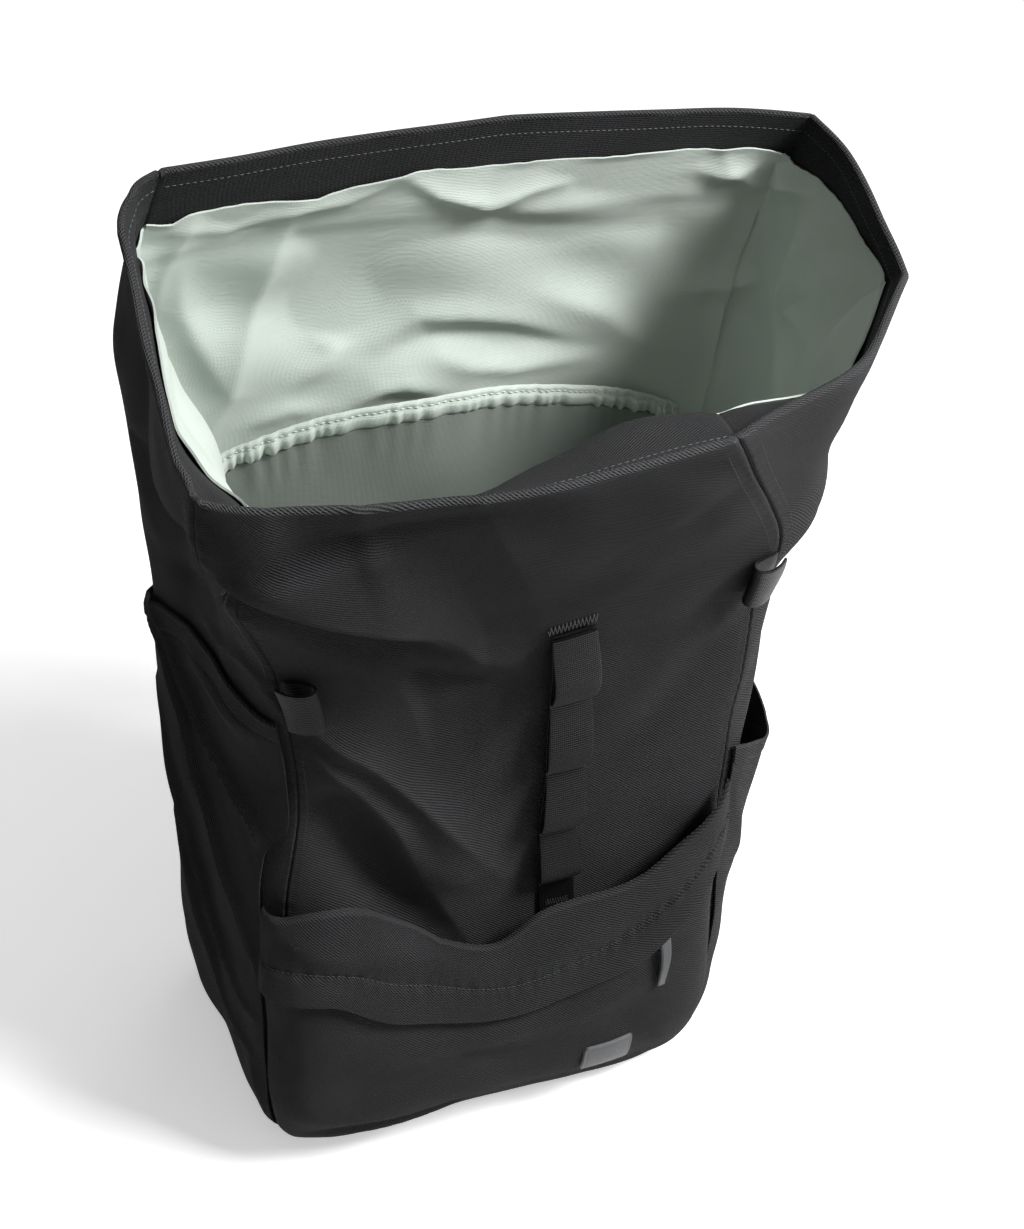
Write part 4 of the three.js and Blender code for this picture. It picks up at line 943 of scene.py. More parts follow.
# where the sleeve lies: its depth inside the wall, its end stations across the back, and its foot level
SLEEVE_SKIN = LINING_SKIN + 0.0012 + SEAT
sleeve_from = BACK_LEFT + SLEEVE_INSET / STATION_RUN
sleeve_to = BACK_RIGHT - SLEEVE_INSET / STATION_RUN
sleeve_foot = 0.0048 / RIM_HEIGHT


def sleeve_top(share):
    """Level of the sleeve's top: a half sine across the back."""
    return (SLEEVE_HEIGHT - SLEEVE_CURVE * (1 - np.sin(math.pi * share))) / RIM_HEIGHT


def sleeve_at(share, level, depth):
    """A point of the sleeve: it stands off the back in a half sine and hangs straight below its hem."""
    up = np.clip((level - sleeve_foot) / (sleeve_top(share) - sleeve_foot), 0, 1)
    stand = SLEEVE_STAND * np.sin(math.pi * share) * ease(up * 2.5)
    sag = 0.0022 * np.sin(share * 16 + 4 * up) * np.sin(up * 9 + share * 5) * np.sin(math.pi * share) * ease(up * 3)
    return layer(mix(sleeve_from, sleeve_to, share), level, -(SLEEVE_SKIN + stand + sag + depth), plain_back)


def plain_back(station, level):
    """The main shell without fine creases, which the slack sleeve doesn't follow."""
    return main_shell(station, level)


share, up = np.meshgrid(np.linspace(0, 1, 130), np.linspace(0, 1, 110), indexing="ij")
ruffle_ends = 0.25 + 0.75 * np.abs(2 * share - 1)**2
ruffle = 0.0013 * np.sin(share * 150 + 2.5 * np.sin(share * 31)) * ruffle_ends * ease((up - 0.93) / 0.07)
level = mix(sleeve_foot, sleeve_top(share), up)
sleeve_out = sleeve_at(share, level, ruffle + 0.0)
sleeve_in = sleeve_at(share, level, ruffle + 0.0011)
# Painted shade: the sleeve is the lining's cotton in a far darker colour, as it lies deep in the bag below its hem.
painted_shade_cotton = cotton("sleeve_cotton_painted_shade", (0.205, 0.232, 0.208), (0.150, 0.172, 0.153))
sleeve = cloth_piece("sleeve_cloth", sleeve_out, sleeve_in, painted_shade_cotton, "lining")
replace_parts(sleeve, "laptop_sleeve")

share, up = np.meshgrid(np.linspace(0, 1, 420), np.linspace(0, 1, 13), indexing="ij")
ruffle_ends = 0.22 + 0.78 * np.abs(2 * share - 1)**2
wave = np.sin(share * 150 + 2.5 * np.sin(share * 31)) + 0.5 * np.sin(share * 263 + 3 * np.sin(share * 47))
puff = np.sin(math.pi * np.clip(up, 0, 1))**0.6
pinch = 1 - 0.55 * np.exp(-((up - 0.72) / 0.09)**2)
level = sleeve_top(share) + (0.0003 + HEM_HEIGHT * (up - 0.10 * wave * ruffle_ends * (1 - up))) / RIM_HEIGHT
thick = 0.0008 + (HEM_THICKNESS - 0.0008) * puff * pinch * (0.72 + 0.28 * wave * ruffle_ends)
ripple = 0.0013 * wave * ruffle_ends * (1 - 0.6 * up)
hem_out = sleeve_at(share, level, ripple)
hem_in = sleeve_at(share, level, ripple + thick)
hem = cloth_piece("gathered_hem", hem_out, hem_in, sage_cotton, "lining")
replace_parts(hem, "sleeve_hem")
stitch_row = 9
hem_face = unit(hem_in[:, stitch_row] - hem_out[:, stitch_row])
hem_stitches = thread_rows("hem_stitching", [(hem_in[:, stitch_row] + 0.0003 * hem_face, hem_face)], sage_thread,
                           pitch=0.0040, length=0.0028, thick=0.0009)


# Front pocket
# A bellows pocket of twill across the lower front. Its lower panel stands out from the bag, and the upper
# panel hangs over the zip as a flap with a topstitched fold along its free edge.
POCKET_HEIGHT = 0.280
POCKET_STAND = 0.022
FLAP_LAP = 0.014
ZIP_WIDTH = 0.009
ZIP_THICKNESS = 0.0012
TOPSTITCH_RISE = 0.024
# station; top and flap edge (of POCKET_HEIGHT)
POCKET_EDGES = np.array([
    (4.00, 0.970, 0.800),
    (4.25, 0.880, 0.670),
    (4.50, 0.790, 0.560),
    (4.90, 0.745, 0.490),
    (5.13, 0.680, 0.485),
    (5.50, 0.770, 0.550),
    (5.80, 0.885, 0.645),
    (6.13, 0.850, 0.640),
])
# depth, width, sharpness, then shares across the pocket (right to left) and heights in metres
POCKET_FOLDS = [
    (0.0035, 0.0060, 1.4, [(0.90, 0.032), (0.72, 0.036), (0.56, 0.040)]),
    (-0.0030, 0.0080, 1.6, [(0.88, 0.042), (0.66, 0.046), (0.50, 0.052)]),
    (0.0030, 0.0140, 2.0, [(0.80, 0.060), (0.55, 0.070), (0.25, 0.062)]),
    (-0.0035, 0.0160, 2.0, [(0.90, 0.085), (0.60, 0.095), (0.35, 0.080)]),
    (0.0035, 0.0130, 2.0, [(0.75, 0.120), (0.55, 0.112), (0.35, 0.118), (0.15, 0.140)]),
    (-0.0025, 0.0110, 2.0, [(0.25, 0.100), (0.18, 0.060), (0.12, 0.030)]),
    (0.0025, 0.0090, 1.8, [(0.42, 0.030), (0.25, 0.024), (0.10, 0.030)]),
    (-0.0025, 0.0090, 1.8, [(0.97, 0.170), (0.93, 0.120), (0.95, 0.060)]),
]
FLAP_FOLDS = [
    (0.0030, 0.0110, 1.8, [(0.95, 0.235), (0.80, 0.215), (0.62, 0.180), (0.50, 0.170)]),
    (-0.0028, 0.0090, 1.8, [(0.90, 0.210), (0.75, 0.188), (0.60, 0.165)]),
    (0.0022, 0.0100, 2.0, [(0.42, 0.178), (0.28, 0.190), (0.14, 0.220)]),
    (-0.0020, 0.0090, 1.8, [(0.45, 0.160), (0.30, 0.170), (0.15, 0.200)]),
]
pocket_from, pocket_to = POCKET_EDGES[0, 0], POCKET_EDGES[-1, 0]
POCKET_FINE = (0.0, 0.0012, 0.003, 0.006)


def edge_curve(column, share):
    """Height of the pocket's top or flap edge at a share across it: a cubic through the noted places."""
    station = mix(pocket_from, pocket_to, share)
    return POCKET_HEIGHT * through(POCKET_EDGES[:, 0], POCKET_EDGES.T, column, station)


def soft_shell(station, level):
    """The main shell with the slack of the cloth but no fine creases."""
    return main_shell(station, level) + level_out(station, level) * slack(np.mod(station, STATIONS), level)[..., None]


def pocket_at(share, height, extra, folds=()):
    """A point of the pocket: it stands off the front by POCKET_STAND in its middle, falls to the seams at
    both sides and to the base, and is drawn half way in at its top."""
    side = 1 - np.abs(2 * share - 1)**9
    foot = mix(0.06, 1, ease(height / (POCKET_HEIGHT * 0.3)))
    mouth = mix(1, 0.55, ease((height / edge_curve(1, share) - 0.6) / 0.4))
    stand = SEAT + (POCKET_STAND - SEAT) * side * foot * mouth
    hold = ease(np.minimum(share, 1 - share) / 0.05)
    for depth, width, sharpness, path in folds:
        near = [(a * 0.30, h) for a, h in path]
        stand = stand + hold * depth * trail(share * 0.30, height, near, width, sharpness)
    return layer(mix(pocket_from, pocket_to, share), height / RIM_HEIGHT, stand + extra, soft_shell)


def share_grid(columns, rows, fine=0.02):
    """Shares across and up, with columns gathered near both side edges."""
    even = np.linspace(0, 1, columns)
    across = np.unique(np.concatenate([even, fine * np.array([0.1, 0.25, 0.45, 0.7]),
                                       1 - fine * np.array([0.1, 0.25, 0.45, 0.7])]))
    return np.meshgrid(across, np.asarray(rows), indexing="ij")


def rolled_edge(across, up, end, reach):
    """Drop in metres towards an edge that is folded over: a quarter circle over the last reach of it."""
    t = np.clip(1 - np.abs(up - end) / reach, 0, 1)
    return 1 - np.sqrt(np.maximum(1 - t * t, 0))


share, up = share_grid(150, np.linspace(0, 1, 90))
height = mix(FOOT - 0.0024, edge_curve(2, share) + FLAP_LAP, up)
lower_out = pocket_at(share, height, 0.0016, POCKET_FOLDS)
lower_in = pocket_at(share, height, 0.0006, POCKET_FOLDS)
# The lower panel's crests get rubbed wear and painted highlight.
lower = cloth_piece("pocket_lower_cloth", lower_out, lower_in, black_twill, "twill", worn_and_lit(lower_out, rows_over=0))
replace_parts(lower, "pocket_lower")

flap_clear = FABRIC + ZIP_THICKNESS + 2 * SEAT
flap_rows = np.concatenate([np.linspace(0, 0.03, 6, endpoint=False), np.linspace(0.03, 0.95, 56), np.linspace(0.955, 1, 8)])
share, up = share_grid(150, flap_rows)
height = mix(edge_curve(2, share), edge_curve(1, share), up)
span = edge_curve(1, share) - edge_curve(2, share)
welt = 0.0007 * ease((TOPSTITCH_RISE - up * span) / 0.002)
tuck = -0.0005 * np.exp(-((up * span - TOPSTITCH_RISE) / 0.0016)**2)
puckers = 0.0005 * np.sin(share * 260 + 2 * np.sin(share * 60)) * np.exp(-((up * span - TOPSTITCH_RISE) / 0.006)**2)
fold_low = 0.0018 * rolled_edge(share, up * span, 0.0, 0.0016)
fold_high = 0.0030 * rolled_edge(share, (1 - up) * span, 0.0, 0.0030)
flap_skin = flap_clear + 0.0018 + welt + tuck + puckers - fold_low - fold_high
upper_out = pocket_at(share, height, flap_skin, FLAP_FOLDS)
upper_in = pocket_at(share, height, np.minimum(flap_clear + 0.0002, flap_skin - 0.0004), FLAP_FOLDS)
upper_wear_and_highlight = worn_and_lit(upper_out, rows_over=0)
# The flap's folded edges get rubbed wear and painted highlight.
upper_wear_and_highlight[:, -7:-2] = np.maximum(upper_wear_and_highlight[:, -7:-2], 0.16)
upper_wear_and_highlight[:, 2:5] = np.maximum(upper_wear_and_highlight[:, 2:5], 0.30)
upper = cloth_piece("pocket_upper_cloth", upper_out, upper_in, black_twill, "twill", upper_wear_and_highlight)
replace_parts(upper, "pocket_upper")


def pocket_line(share, height, extra, folds=()):
    """A line on the pocket, with the direction that faces away from it."""
    line = pocket_at(share, height, extra, folds)
    out = shell_out(mix(pocket_from, pocket_to, share), height / RIM_HEIGHT)
    return line, out


run = np.linspace(0.03, 0.97, 300)
rows = [pocket_line(run, edge_curve(2, run) + TOPSTITCH_RISE, flap_clear + 0.0018, FLAP_FOLDS)]
thread_rows("flap_stitching", rows, dark_thread)
rise = np.linspace(0.02, 0.165, 90)
rows = [pocket_line(np.full(90, 0.984), rise, 0.0016, POCKET_FOLDS),
        pocket_line(np.full(90, 0.016), rise, 0.0016, POCKET_FOLDS)]
thread_rows("pocket_side_stitching", rows, black_thread)


# Pocket zip and its pull
# A coil zip on woven tape under the flap. Its pull is a folded strip of grey leather, stitched along both
# edges, that hangs out below the flap.
PULL_LENGTH = 0.041
PULL_WIDTH = 0.008
PULL_THICKNESS = 0.002
PULL_SHARE = 0.175
PULL_DROP = 0.001
LEATHER_DARK = (0.040, 0.041, 0.043)
LEATHER_LIGHT = (0.085, 0.087, 0.090)


def webbing_weave(name, dark, light, rough=0.36, rib=0.0016):
    """Woven nylon: ribs across the strap with fine lengthwise yarns, glossy on the raised yarns."""
    tape = Shader(name)
    uv = tape.node("UVMap", {"uv_map": "cloth"}).outputs["UV"]
    ribs = tape.node("TexWave", {"wave_type": "BANDS", "bands_direction": "Y"}, Vector=uv,
                     Scale=0.1 * math.pi / rib, Distortion=0.8, Detail=1.0, Detail_Scale=1.0).outputs["Fac"]
    yarns = tape.node("TexWave", {"wave_type": "BANDS", "bands_direction": "X"}, Vector=uv,
                      Scale=0.1 * math.pi / 0.0011, Distortion=1.0, Detail=1.0, Detail_Scale=1.0).outputs["Fac"]
    clouds = tape.noise(uv, 60.0, 3.0, 0.6)
    tone = tape.math("MULTIPLY_ADD", ribs, 0.5, tape.math("MULTIPLY", yarns, 0.25))
    tone = tape.math("ADD", tone, tape.math("MULTIPLY", clouds, 0.35))
    height = tape.math("MULTIPLY_ADD", yarns, 0.5, ribs)
    gloss = tape.math("MULTIPLY_ADD", clouds, 0.25, rough - 0.12)
    return tape.finish(tape.blend(tone, (*dark, 1), (*light, 1)), height, 0.00020, gloss,
                       Specular_IOR_Level=0.08)


def smooth_leather(name, dark, light):
    """Coated grey leather: fine pebbles, cloudy tone and small scuffs."""
    hide = Shader(name)
    where = hide.node("TexCoord").outputs["Object"]
    pebbles = hide.node("TexVoronoi", {"feature": "F1"}, Vector=where, Scale=1500.0).outputs["Distance"]
    clouds = hide.noise(where, 120.0, 4.0, 0.6)
    scuffs = hide.ramp(hide.noise(where, 420.0, 3.0, 0.6), (0.0, 0.0), (0.60, 0.0), (0.78, 0.6))
    tone = hide.math("MULTIPLY_ADD", pebbles, 0.4, hide.math("MULTIPLY", clouds, 0.7))
    colour = hide.blend(tone, (*dark, 1), (*light, 1))
    colour = hide.blend(scuffs, colour, (*(1.5 * k for k in light), 1))
    gloss = hide.math("MULTIPLY_ADD", clouds, 0.25, 0.38)
    return hide.finish(colour, hide.math("ADD", pebbles, clouds), 0.00012, gloss, Specular_IOR_Level=0.45)


black_webbing = webbing_weave("black_webbing", (0.0018, 0.0018, 0.0021), (0.0110, 0.0110, 0.0118))
grey_leather = smooth_leather("grey_leather", LEATHER_DARK, LEATHER_LIGHT)

across = np.linspace(0.115, 0.885, 420)
share, up = np.meshgrid(across, np.linspace(0, 1, 15), indexing="ij")
tape_base = edge_curve(2, share) + FLAP_LAP - ZIP_WIDTH
coil = np.exp(-((up - 0.5) / 0.13)**2) * (0.7 + 0.3 * np.sin(share * 1350))
zip_out = pocket_at(share, tape_base + ZIP_WIDTH * up, FABRIC + SEAT + 0.0004 + 0.0012 * coil, POCKET_FOLDS)
zip_in = pocket_at(share, tape_base + ZIP_WIDTH * up, FABRIC + SEAT, POCKET_FOLDS)
zip_tape = cloth_piece("zip_tape", zip_out, zip_in, black_webbing, "webbing")
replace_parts(zip_tape, "pocket_zip")


def share_width(share, height, width):
    """The share of the pocket's width that a length in metres takes up at a place."""
    step = 0.01
    apart = np.linalg.norm(pocket_at(share + step, height, 0) - pocket_at(share - step, height, 0), axis=-1)
    return float(2 * step * width / apart)


def pull_at(side, down, extra):
    """A point of the pull: narrower towards its end, where the two layers part slightly."""
    share = PULL_SHARE + pull_share * side * mix(1, 0.72, down)
    height = edge_curve(2, PULL_SHARE + 0 * share) - PULL_DROP + 0.012 - (PULL_LENGTH + 0.012) * down
    lift = 0.0026 * np.sin(math.pi * down)**2 - 0.0016 * ease((0.2 - down) / 0.2)
    return pocket_at(share, height, FABRIC + 0.0009 + lift + extra, POCKET_FOLDS)


pull_height = float(edge_curve(2, np.array(PULL_SHARE)))
pull_share = share_width(np.array(PULL_SHARE), np.array(pull_height), PULL_WIDTH)
side, down = np.meshgrid(np.linspace(-0.5, 0.5, 25), np.linspace(1, 0, 90), indexing="ij")
side_turned = np.minimum(1 - (2 * np.abs(side))**8, 1) * np.minimum(1, (1.002 - down) * 40)**0.5
pull = cloth_piece("zip_pull_leather", pull_at(side, down, PULL_THICKNESS * (0.35 + 0.65 * side_turned)),
                   pull_at(side, down, PULL_THICKNESS * 0.25 * (1 - side_turned)), grey_leather, "leather")
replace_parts(pull, "zip_pull")
rows = []
for edge in (-0.34, 0.34):
    down = np.linspace(0.02, 0.95, 60)
    line = pull_at(np.full(60, edge), down, PULL_THICKNESS)
    out = shell_out(np.full(60, mix(pocket_from, pocket_to, PULL_SHARE)), np.full(60, pull_height / RIM_HEIGHT))
    rows.append((line, out))
thread_rows("pull_stitching", rows, grey_thread, pitch=0.0026, length=0.0018, thick=0.0004)


# Leather label
# A bare patch of the same grey leather, sewn all round near the pocket's lower right corner.
LABEL_WIDTH = 0.034
LABEL_HEIGHT = 0.025
LABEL_THICKNESS = 0.0014
LABEL_SHARE = 0.275
LABEL_LIFT = 0.070
LABEL_CORNER = 0.0028


def label_at(across, rise, extra):
    """A point of the label: a rectangle whose corners are rounded by drawing the grid in near them."""
    x = across * LABEL_WIDTH
    z = rise * LABEL_HEIGHT
    half_x, half_z = LABEL_WIDTH / 2 - LABEL_CORNER, LABEL_HEIGHT / 2 - LABEL_CORNER
    over_x = np.maximum(np.abs(x) - half_x, 0) / LABEL_CORNER
    over_z = np.maximum(np.abs(z) - half_z, 0) / LABEL_CORNER
    longest = np.maximum(np.maximum(over_x, over_z), 1e-9)
    draw = np.where((over_x > 0) & (over_z > 0), longest / np.hypot(over_x, over_z), 1.0)
    x = np.sign(x) * (np.minimum(np.abs(x), half_x) + over_x * draw * LABEL_CORNER)
    z = np.sign(z) * (np.minimum(np.abs(z), half_z) + over_z * draw * LABEL_CORNER)
    return pocket_at(LABEL_SHARE + label_share * x / LABEL_WIDTH, LABEL_LIFT + z, 0.0017 + extra, POCKET_FOLDS)


label_share = share_width(np.array(LABEL_SHARE), np.array(LABEL_LIFT), LABEL_WIDTH)
across, rise = np.meshgrid(np.linspace(-0.5, 0.5, 61), np.linspace(-0.5, 0.5, 47), indexing="ij")
edge = np.minimum(0.5 - np.abs(across), (0.5 - np.abs(rise)) * LABEL_HEIGHT / LABEL_WIDTH) * LABEL_WIDTH
groove = 0.00022 * np.exp(-((edge - 0.0022) / 0.0005)**2)
crown = LABEL_THICKNESS * np.sqrt(np.clip(edge / 0.0007, 0, 1) * (2 - np.clip(edge / 0.0007, 0, 1)))
label = cloth_piece("label_leather", label_at(across, rise, 0.0002 + crown - groove),
                    label_at(across, rise, 0.0), grey_leather, "leather")
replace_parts(label, "label_patch")
inset_x, inset_z = 0.5 - 0.0022 / LABEL_WIDTH, 0.5 - 0.0022 / LABEL_HEIGHT
rows = []
for start, end in (((-inset_x, -inset_z), (inset_x, -inset_z)), ((inset_x, -inset_z), (inset_x, inset_z)),
                   ((inset_x, inset_z), (-inset_x, inset_z)), ((-inset_x, inset_z), (-inset_x, -inset_z))):
    t = np.linspace(0.03, 0.97, 50)
    line = label_at(mix(start[0], end[0], t), mix(start[1], end[1], t), LABEL_THICKNESS)
    out = shell_out(np.full(50, mix(pocket_from, pocket_to, LABEL_SHARE)), np.full(50, LABEL_LIFT / RIM_HEIGHT))
    rows.append((line, out))
thread_rows("label_stitching", rows, grey_thread, pitch=0.0024, length=0.0017, thick=0.0004)


# Side pockets
# Two tall pockets of twill, hemmed at the top. The left one is drawn into long pleats that fan out from
# its back corner, and the right one gapes at its mouth.
SIDE_POCKET_HEIGHT = 0.372
SIDE_POCKET_STAND = 0.0016
SIDE_POCKET_GAPE = 0.018
SEAM_INSET = 0.05
SHOULDER_RUN = 0.030
SIDE_HEM = 0.015
# share from the back seam to the front seam; tops of the left and the right pocket (of SIDE_POCKET_HEIGHT)
SIDE_EDGE = np.array([(0.0, 0.93, 0.76), (0.5, 1.02, 0.67), (1.0, 1.04, 0.79)])
# depth, width, sharpness, then stations and levels
LEFT_PLEATS = [
    (0.0073, 0.0052, 1.25, [(7.60, 0.612), (7.30, 0.575), (7.05, 0.548), (6.84, 0.526), (6.54, 0.514), (6.28, 0.486), (6.10, 0.440)]),
    (-0.0037, 0.0072, 1.6, [(7.50, 0.560), (7.00, 0.510), (6.60, 0.480), (6.30, 0.440)]),
    (0.0077, 0.0052, 1.25, [(7.70, 0.580), (7.40, 0.540), (7.20, 0.505), (7.00, 0.454), (6.66, 0.414), (6.38, 0.370), (6.20, 0.280)]),
    (-0.0040, 0.0081, 1.6, [(7.50, 0.480), (7.00, 0.400), (6.60, 0.350), (6.30, 0.290)]),
    (0.0070, 0.0052, 1.25, [(7.72, 0.480), (7.50, 0.390), (7.36, 0.338), (7.15, 0.293), (6.95, 0.271), (6.62, 0.238), (6.29, 0.215)]),
    (-0.0037, 0.0081, 1.6, [(7.50, 0.300), (7.00, 0.220), (6.50, 0.190)]),
    (0.0056, 0.0057, 1.4, [(7.60, 0.300), (7.20, 0.200), (6.80, 0.160), (6.35, 0.140)]),
    (0.0042, 0.0076, 1.6, [(7.00, 0.600), (6.60, 0.600), (6.25, 0.610)]),
    (-0.0031, 0.0081, 1.8, [(6.90, 0.570), (6.50, 0.565), (6.22, 0.560)]),
    (0.0035, 0.0066, 1.6, [(6.35, 0.120), (6.25, 0.080), (6.21, 0.030)]),
]
RIGHT_PLEATS = [
    (0.0035, 0.0120, 1.8, [(2.30, 0.380), (2.70, 0.240), (3.20, 0.120)]),
    (-0.0025, 0.0120, 1.8, [(2.60, 0.400), (3.00, 0.280), (3.50, 0.200)]),
    (0.0030, 0.0100, 1.8, [(3.90, 0.420), (3.60, 0.300), (3.30, 0.200)]),
]
pocket_shoulder = POCKET_HEIGHT * POCKET_EDGES[:, 1].max()


def side_pocket(name, node, left, columns, rows):
    """A side pocket's grids: it stands off the wall by its sewn-in stand, its gape (a sine across, a cube
    up) and its pleats, ends at the front in the seam, and is rolled at its hem."""
    across, up = np.meshgrid(np.linspace(0, 1, columns), rows, indexing="ij")
    top = SIDE_POCKET_HEIGHT * through(SIDE_EDGE[:, 0], SIDE_EDGE.T, 1 if left else 2, across)
    height = mix(FOOT - 0.0022, top, up)
    if left:
        front = SEAM_INSET + mix(pocket_to, FRONT_LEFT, ease((height - pocket_shoulder) / SHOULDER_RUN))
        station = mix(STATIONS - SEAM_INSET, front, across)
    else:
        station = mix(BACK_RIGHT + SEAM_INSET, FRONT_RIGHT - SEAM_INSET, across)
    gape = 0.0 if left else SIDE_POCKET_GAPE
    stand = SIDE_POCKET_STAND + gape * np.sin(math.pi * across)**1.3 * up**3
    for depth, width, sharpness, path in (LEFT_PLEATS if left else RIGHT_PLEATS):
        near = [(a * STATION_RUN, v * RIM_HEIGHT) for a, v in path]
        stand = stand + ease(np.minimum(across, 1 - across) / 0.06) * depth * trail(
            station * STATION_RUN, height, near, width, sharpness)
    stand = np.maximum(stand, SIDE_POCKET_STAND * 0.8)
    below = top - height
    hem = 0.0006 * ease((SIDE_HEM - below) / 0.0015) - 0.0004 * np.exp(-((below - SIDE_HEM) / 0.0015)**2)
    roll = 0.0012 * rolled_edge(across, below, 0.0, 0.0014)
    outer = layer(station, height / RIM_HEIGHT, stand + 0.0014 + hem - roll, soft_shell)
    inner = layer(station, height / RIM_HEIGHT, stand + 0.0003, soft_shell)
    if left:
        outer, inner = outer[::-1], inner[::-1]
    wear_and_highlight = worn_and_lit(outer, rows_over=0)
    # The rolled hem gets rubbed wear and painted highlight.
    wear_and_highlight[:, -4:-1] = np.maximum(wear_and_highlight[:, -4:-1], 0.25)
    piece = cloth_piece(name, outer, inner, black_twill, "twill", wear_and_highlight)
    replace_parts(piece, node)
    run = np.linspace(0.03, 0.97, 200)
    tops = SIDE_POCKET_HEIGHT * through(SIDE_EDGE[:, 0], SIDE_EDGE.T, 1 if left else 2, run) - SIDE_HEM
    row = np.argmin(np.abs(below - SIDE_HEM), axis=1)
    line = (outer[::-1] if left else outer)[np.arange(columns), row]
    face = shell_out(station[np.arange(columns), row], height[np.arange(columns), row] / RIM_HEIGHT)
    return line, face


pocket_rows = np.concatenate([np.linspace(0, 0.95, 110, endpoint=False), np.linspace(0.95, 1, 22)])
hem_lines = [side_pocket("left_pocket_cloth", "side_pocket_left", True, 150, pocket_rows),
             side_pocket("right_pocket_cloth", "side_pocket_right", False, 110, pocket_rows)]
thread_rows("side_hem_stitching", hem_lines, black_thread)


# Daisy chain
# A flat webbing strap up the front, and a second one over it that is bar-tacked down at even steps, so
# that four lifted loops stand between the tacks. Its top end is folded under and sewn in a zigzag.
WEBBING = 0.025
WEBBING_THICKNESS = 0.0015
DAISY_TOP = 0.448
DAISY_LIFT = 0.0072
# height (of DAISY_TOP) and station of each tack from the top down, and of the strap's lower end
TACKS = np.array([(1.000, 4.88), (0.846, 4.86), (0.708, 4.84), (0.586, 4.82), (0.490, 4.80), (0.412, 4.79)])
BASE_LIFT = SEAT + WEBBING_THICKNESS / 2
LOOP_LIFT = BASE_LIFT + WEBBING_THICKNESS + 0.0003


def daisy_frames(height, lift):
    """Points, side and face directions of the chain at heights in metres, lifted off the front."""
    def station_at(h):
        return through(TACKS[::-1, 0], TACKS[::-1].T, 1, h / DAISY_TOP)
    station = station_at(height)
    level = height / RIM_HEIGHT
    face = shell_out(station, level, soft_shell)
    ahead = main_shell(station_at(height + 0.001), level + 0.001 / RIM_HEIGHT)
    side = unit(np.cross(face, unit(ahead - main_shell(station, level))))
    return layer(station, level, lift, soft_shell), side, face


def strap_piece(name, frames, width, thickness, material, around=24, edge=0.5, crown=0.0):
    """A flat strap along frames of points, sides and faces. Its section is a rounded bar: a superellipse
    as wide and thick as given at every frame, raised along its middle by the crown."""
    points, sides, faces = frames
    count = len(points)
    width = np.broadcast_to(width, (count,))
    thickness = np.broadcast_to(thickness, (count,))
    turn = np.arange(around) / around * 2 * math.pi
    flat = np.sign(np.cos(turn)) * np.abs(np.cos(turn))**0.35
    tall = np.sign(np.sin(turn)) * np.abs(np.sin(turn))**edge
    lift = crown * (1 - flat**2)
    section = (points[:, None] + sides[:, None] * (flat[None, :, None] * width[:, None, None] / 2)
               + faces[:, None] * ((tall * thickness[:, None] / 2 + lift * thickness[:, None])[..., None]))
    index = np.arange(count * around).reshape(count, around)
    nxt = np.roll(index, -1, axis=1)
    quads = np.stack([index[:-1], nxt[:-1], nxt[1:], index[1:]], -1).reshape(-1, 4)
    half = around // 2
    left = np.arange(half)
    right = (around - np.arange(half + 1)) % around
    caps = [(left[k], right[k], right[k + 1], left[k + 1]) for k in range(1, half - 1)]
    caps = [(0, around - 1, 1)] + caps + [(half - 1, half + 1, half)]
    first = [tuple(int(c) for c in cap) for cap in caps]
    last = [tuple(int(c) + (count - 1) * around for c in cap[::-1]) for cap in caps]
    mesh = bpy.data.meshes.new(name)
    mesh.from_pydata(section.reshape(-1, 3), [], [tuple(q) for q in quads.tolist()] + first + last)
    run = np.concatenate([[0], np.cumsum(np.linalg.norm(np.diff(points, axis=0), axis=1))])
    across = flat[None, :] * width[:, None] / 2 + (tall < 0) * 0.05
    uv = np.stack([across, np.broadcast_to(run[:, None], across.shape)], -1).reshape(-1, 2)
    corners = np.zeros(len(mesh.loops), np.int32)
    mesh.loops.foreach_get("vertex_index", corners)
    mesh.uv_layers.new(name="cloth").data.foreach_set("uv", uv[corners].ravel())
    mesh.polygons.foreach_set("use_smooth", np.ones(len(mesh.polygons), bool))
    mesh.set_sharp_from_angle(angle=math.radians(62))
    return placed(mesh, name, material)


heights = np.linspace(TACKS[-1, 0], 1, 120) * DAISY_TOP
base_strap = strap_piece("daisy_base_webbing", daisy_frames(heights, BASE_LIFT), WEBBING - 0.003,
                         WEBBING_THICKNESS, black_webbing)
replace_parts(base_strap, "daisy_base")

loop_heights, loop_lifts, loop_widths = [], [], []
for k in range(len(TACKS) - 2, 0, -1):
    share = np.linspace(0, 1, 40, endpoint=k == 1)
    loop_heights.append(mix(TACKS[k, 0], TACKS[k - 1, 0], share) * DAISY_TOP)
    rise = np.sin(math.pi * share**0.75)**0.9
    lean = 1 + 0.15 * np.sin(2 * math.pi * share)
    loop_lifts.append(LOOP_LIFT + DAISY_LIFT * rise * lean * 0.95)
    loop_widths.append(WEBBING - 0.0022 * (1 - rise))
loops = strap_piece("daisy_loop_webbing",
                    daisy_frames(np.concatenate(loop_heights), np.concatenate(loop_lifts)),
                    np.concatenate(loop_widths), WEBBING_THICKNESS, black_webbing, crown=0.25)
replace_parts(loops, "daisy_loops")


def bar_tack(height, width, lift, teeth=13, tall=0.003):
    """A zigzag of thread across the strap at a height, as a line with its outward direction."""
    swing = np.linspace(-0.5, 0.5, teeth * 8)
    zig = np.abs(np.mod(np.arange(teeth * 8) / 8, 1) - 0.5) * 2 - 0.5
    points, sides, faces = daisy_frames(height + tall * zig, lift)
    return points + sides * (swing * width)[:, None], faces


